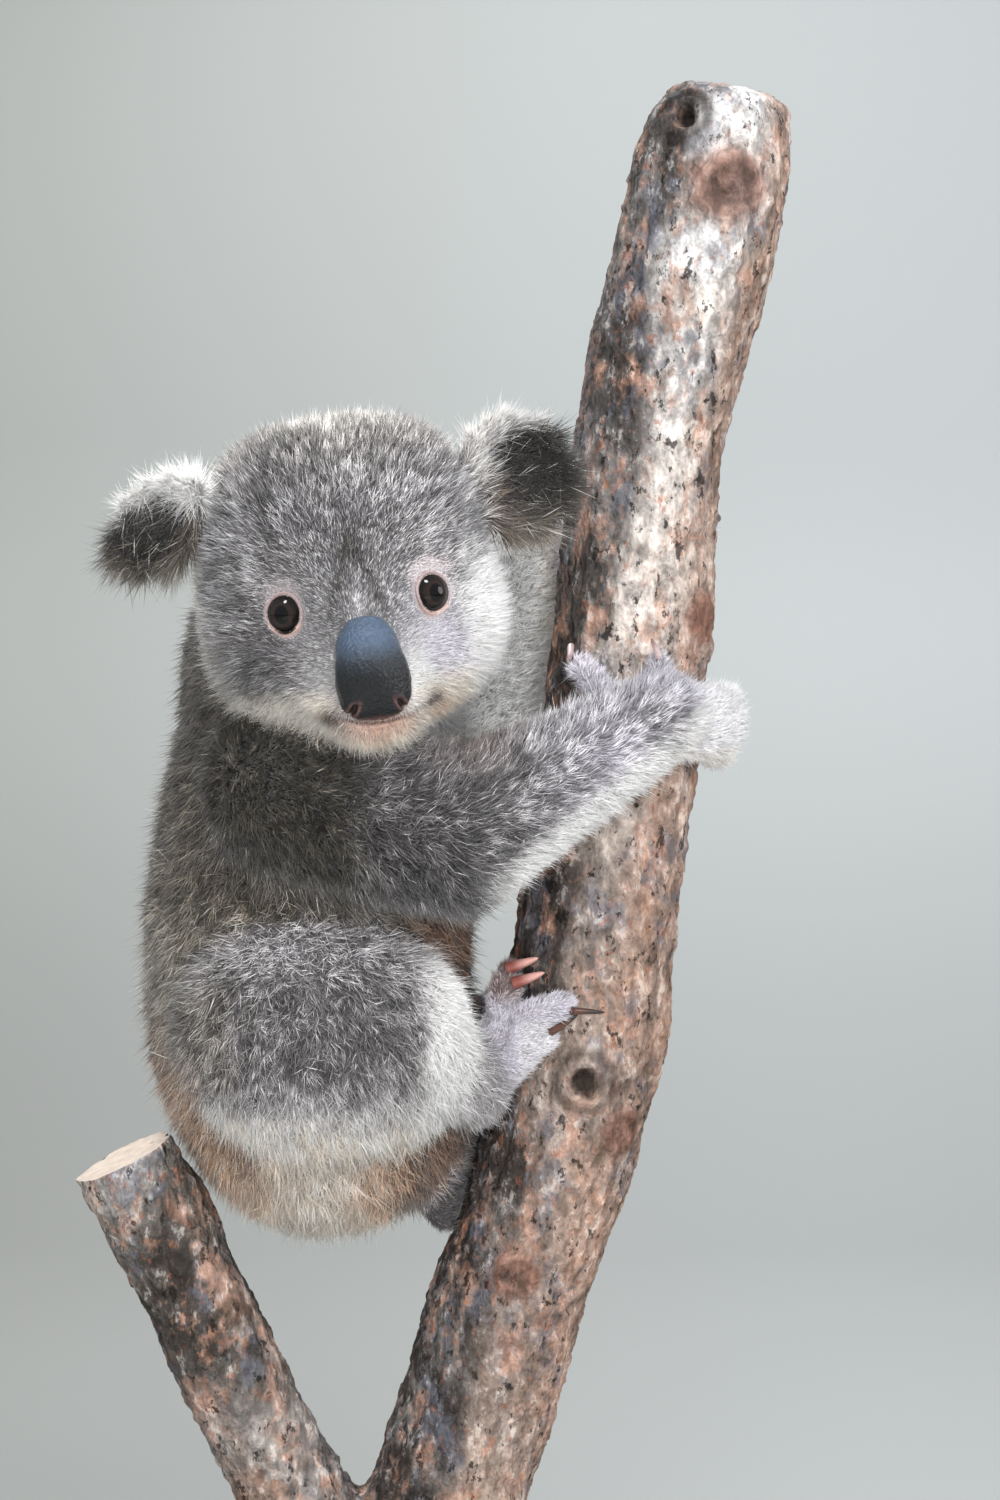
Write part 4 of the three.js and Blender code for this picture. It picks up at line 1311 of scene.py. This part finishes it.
def make_rod(side, steel):
    low, high = (np.array(corner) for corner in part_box(f"stand_rod_{side}"))
    form = bmesh.new()
    radius, depth = (high[0] - low[0]) / 2, high[2] - low[2]
    bmesh.ops.create_cone(form, cap_ends=True, segments=48, radius1=radius, radius2=radius, depth=depth)
    ease(form, [edge for edge in form.edges if drop(edge) < 1e-6], 0.5 * MM, 2)
    bmesh.ops.translate(form, verts=form.verts, vec=Vector((low + high) / 2))
    return add_object(f"steel_rod_{side}", mesh_of(form, f"steel_rod_{side}"), steel)


# ---------------------------------------------------------------- studio

def backdrop_material():
    """Pale paper, with painted shade towards the floor and to the left."""
    made, tree, shader = new_material("backdrop_paper", 0.95, Specular_IOR_Level=0.1)
    parts = node(tree, "SeparateXYZ", node(tree, "TexCoord").outputs["Object"]).outputs

    def across(axis, low, high, least=0.0):
        return spread(tree, parts[axis], low, high, least, interpolation_type="SMOOTHSTEP")

    # Darker to the left and towards the floor: painted shade on the pale paper.
    wall = mixed(tree, across("X", -0.4, 0.3), (155, 158, 156), (181, 185, 186))
    wall = node(tree, "VectorMath", wall, operation="SCALE", Scale=across("Z", 0.0, 0.42, 0.66)).outputs[0]
    put(shader.inputs["Base Color"], mixed(tree, across("Y", -0.1, 0.42), (168, 169, 166), wall))
    # Seen through from behind, so that it hides nothing from a camera on its far side
    behind = node(tree, "NewGeometry").outputs["Backfacing"]
    clear = node(tree, "BsdfTransparent").outputs["BSDF"]
    either = node(tree, "MixShader", behind, shader.outputs["BSDF"], clear).outputs["Shader"]
    put(tree.nodes["Material Output"].inputs["Surface"], either)
    return made


def make_backdrop():
    """A pale floor that sweeps up into a wall."""
    wall, sweep, width = 1.5, 0.5, 4.0
    curve = [math.radians(7.5 * k) for k in range(1, 12)]
    profile = [(-3.0, 0.0), (wall - sweep, 0.0)]
    profile += [(wall - sweep + sweep * math.sin(a), sweep - sweep * math.cos(a)) for a in curve]
    profile += [(wall, sweep), (wall, 3.5)]
    form = bmesh.new()
    line = [form.verts.new((-width, y, z)) for y, z in profile]
    edges = [form.edges.new(pair) for pair in zip(line, line[1:])]
    moved = bmesh.ops.extrude_edge_only(form, edges=edges)["geom"]
    ends = [corner for corner in moved if isinstance(corner, bmesh.types.BMVert)]
    bmesh.ops.translate(form, verts=ends, vec=(2 * width, 0, 0))
    form.normal_update()
    above = Vector((0, 0, 1))
    facing_away = [face for face in form.faces if (above - face.calc_center_median()).dot(face.normal) < 0]
    bmesh.ops.reverse_faces(form, faces=facing_away)
    mesh = mesh_of(form, "backdrop")
    mesh.shade_smooth()
    return add_object("backdrop", mesh, backdrop_material())


# Lamps: place, breadth, power, colour, and whether the eyes and the nose may reflect them
LAMPS = {
    "key": ((0.35, -1.3, 1.5), 0.4, 14, (1.0, 0.99, 0.975), False),
    "top": ((-0.2, -0.5, 1.75), 0.34, 10, (0.97, 0.985, 1.0), True),
    "side": ((1.35, -0.35, 0.75), 0.9, 10, (1.0, 0.99, 0.98), True),
    "fill": ((0.06, -1.5, 0.46), 0.9, 14, (1.0, 0.985, 0.97), False),
    "low": ((-0.12, -1.0, 0.1), 0.3, 3.2, (1.0, 0.98, 0.95), False),
    "rim": ((-0.35, 1.0, 1.4), 0.7, 24, (1.0, 0.97, 0.92), True),
}
AIM_AT = Vector((0.03, 0, 0.36))
CAMERA_PLACE, CAMERA_DIP, CAMERA_LENS = (0.0358, -1.1472, 0.4522), 4, 86.25


def make_studio():
    """The backdrop, soft lamps and the camera."""
    make_backdrop()
    for name, (place, size, power, colour, glossy) in LAMPS.items():
        lamp = bpy.data.lights.new(name, "AREA")
        lamp.shape = "DISK"
        lamp.size, lamp.energy, lamp.color = size, power, colour
        made = add_object(name, lamp)
        made.location = place
        made.rotation_euler = (AIM_AT - Vector(place)).to_track_quat("-Z", "Y").to_euler()
        made.visible_camera = False
        made.visible_glossy = glossy
    world = bpy.data.worlds.new("studio")
    world.use_nodes = True
    sky = world.node_tree.nodes["Background"].inputs
    sky["Color"].default_value = (0.9, 0.94, 1.0, 1)
    sky["Strength"].default_value = 0.62
    scene.world = world
    scene.view_settings.view_transform = "Standard"

    camera = bpy.data.cameras.new("camera")
    camera.lens = CAMERA_LENS
    camera.clip_start = 0.05
    made = add_object("camera", camera)
    made.location = CAMERA_PLACE
    made.rotation_euler = (math.radians(90 - CAMERA_DIP), 0, 0)
    scene.camera = made


# ---------------------------------------------------------------- the whole

def settle(piece, slot, *nodes):
    """Every piece is on the one body."""
    if nodes:
        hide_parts(*nodes)
    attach(piece, "root")


def bare_skin(points, share, colours):
    """The skin's colours: those of the fur, darker, with pink round the eyes and mouth and dark soles."""
    under = Paint(points, "grey")
    under.colour = colours * 0.55
    for eye in eyes.values():
        rim = lid_rim(eye, points)
        socket = ramp(rim, 1.36, 1.24)
        under.lay("skin pink", 0.8 * socket)
        under.lay("pink", 0.4 * socket * ramp(eye.inside(points)[:, 1], -2 * MM, -5 * MM))
        under.lay("lid", ramp(rim, 1.18, 1.1))
    above, beside = off_mouth(head.inside(points) / MM)
    beside = beside * belongs(share, "head")
    under.lay("pink", 0.3 * beside * hump(above, 0, 3))
    under.lay("lip", beside * hump(above, 0, 0.8))
    to_limb = distance_to(points, "perch_limb")
    under.lay("sole", belongs(share, "hand", "foot") * ramp(to_limb, 4 * MM, 2 * MM))
    return under


make_studio()
fur = grained(
    "koala_fur", 0.62, "coat_colour", 700, (0.85, 1.15),
    Specular_IOR_Level=0.25, Sheen_Weight=0.25, Sheen_Roughness=0.5,
)
hide = grained("koala_skin", 0.6, "coat_colour", 900, (0.55, 1.25), (0.35, 0.0006), Specular_IOR_Level=0.3)
leather = grained(
    "nose_leather", 0.34, "nose_colour", 1000, (0.2, 1.7), (0.7, 0.0005), Specular_IOR_Level=0.42
)
wet = grained("wet_eye", 0.04, "eye_colour", 1800, (0.75, 1.25), Specular_IOR_Level=0.3)
horn = grained("horn", 0.3, "claw_colour", 1200, (0.7, 1.3), (0.15, 0.0002), Specular_IOR_Level=0.5)
sawn = grained("sawn_wood", 0.8, "bark_colour", 260, (0.55, 1.25), (0.5, 0.001), Specular_IOR_Level=0.2)
steel = grained("brushed_steel", 0.32, (170, 171, 174), 900, (0.85, 1.15), stretch=(1, 1, 0.03), Metallic=1.0)

skin = make_skin()
eye_places = [eye.centre for eye in eyes.values()]
mouth_place = head.outside(np.array((1, -42, -38)) * MM)
for places, radius in (([*eye_places, mouth_place], 17), (eye_places, 11.5), (eye_places, 9.5)):
    skin = refine(skin, places, radius * MM)
share = model_face(skin)
colours = markings_and_shading(skin.points, share)
pieces = grow_coat(skin, share, fur)
under = bare_skin(skin.points, share, colours)
body = painted("koala_skin", skin.mesh, skin.points, under, "coat_colour", hide)

settle(body, "coat", *FLESH)
for piece in pieces:
    settle(piece, "coat")
for side in SIDES:
    settle(make_eye(side, wet), "eyes", f"eye_{side}")
settle(make_nose(leather), "nose", "nose")
for name in sorted(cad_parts):
    if name.startswith("claw"):
        settle(make_claw(name, horn), "claws", name)
settle(make_branch(bark_material(), sawn), "bark", *LOGS)
settle(make_base(), "stand_base", "stand_base")
for side in SIDES:
    settle(make_rod(side, steel), "stand_rods", f"stand_rod_{side}")
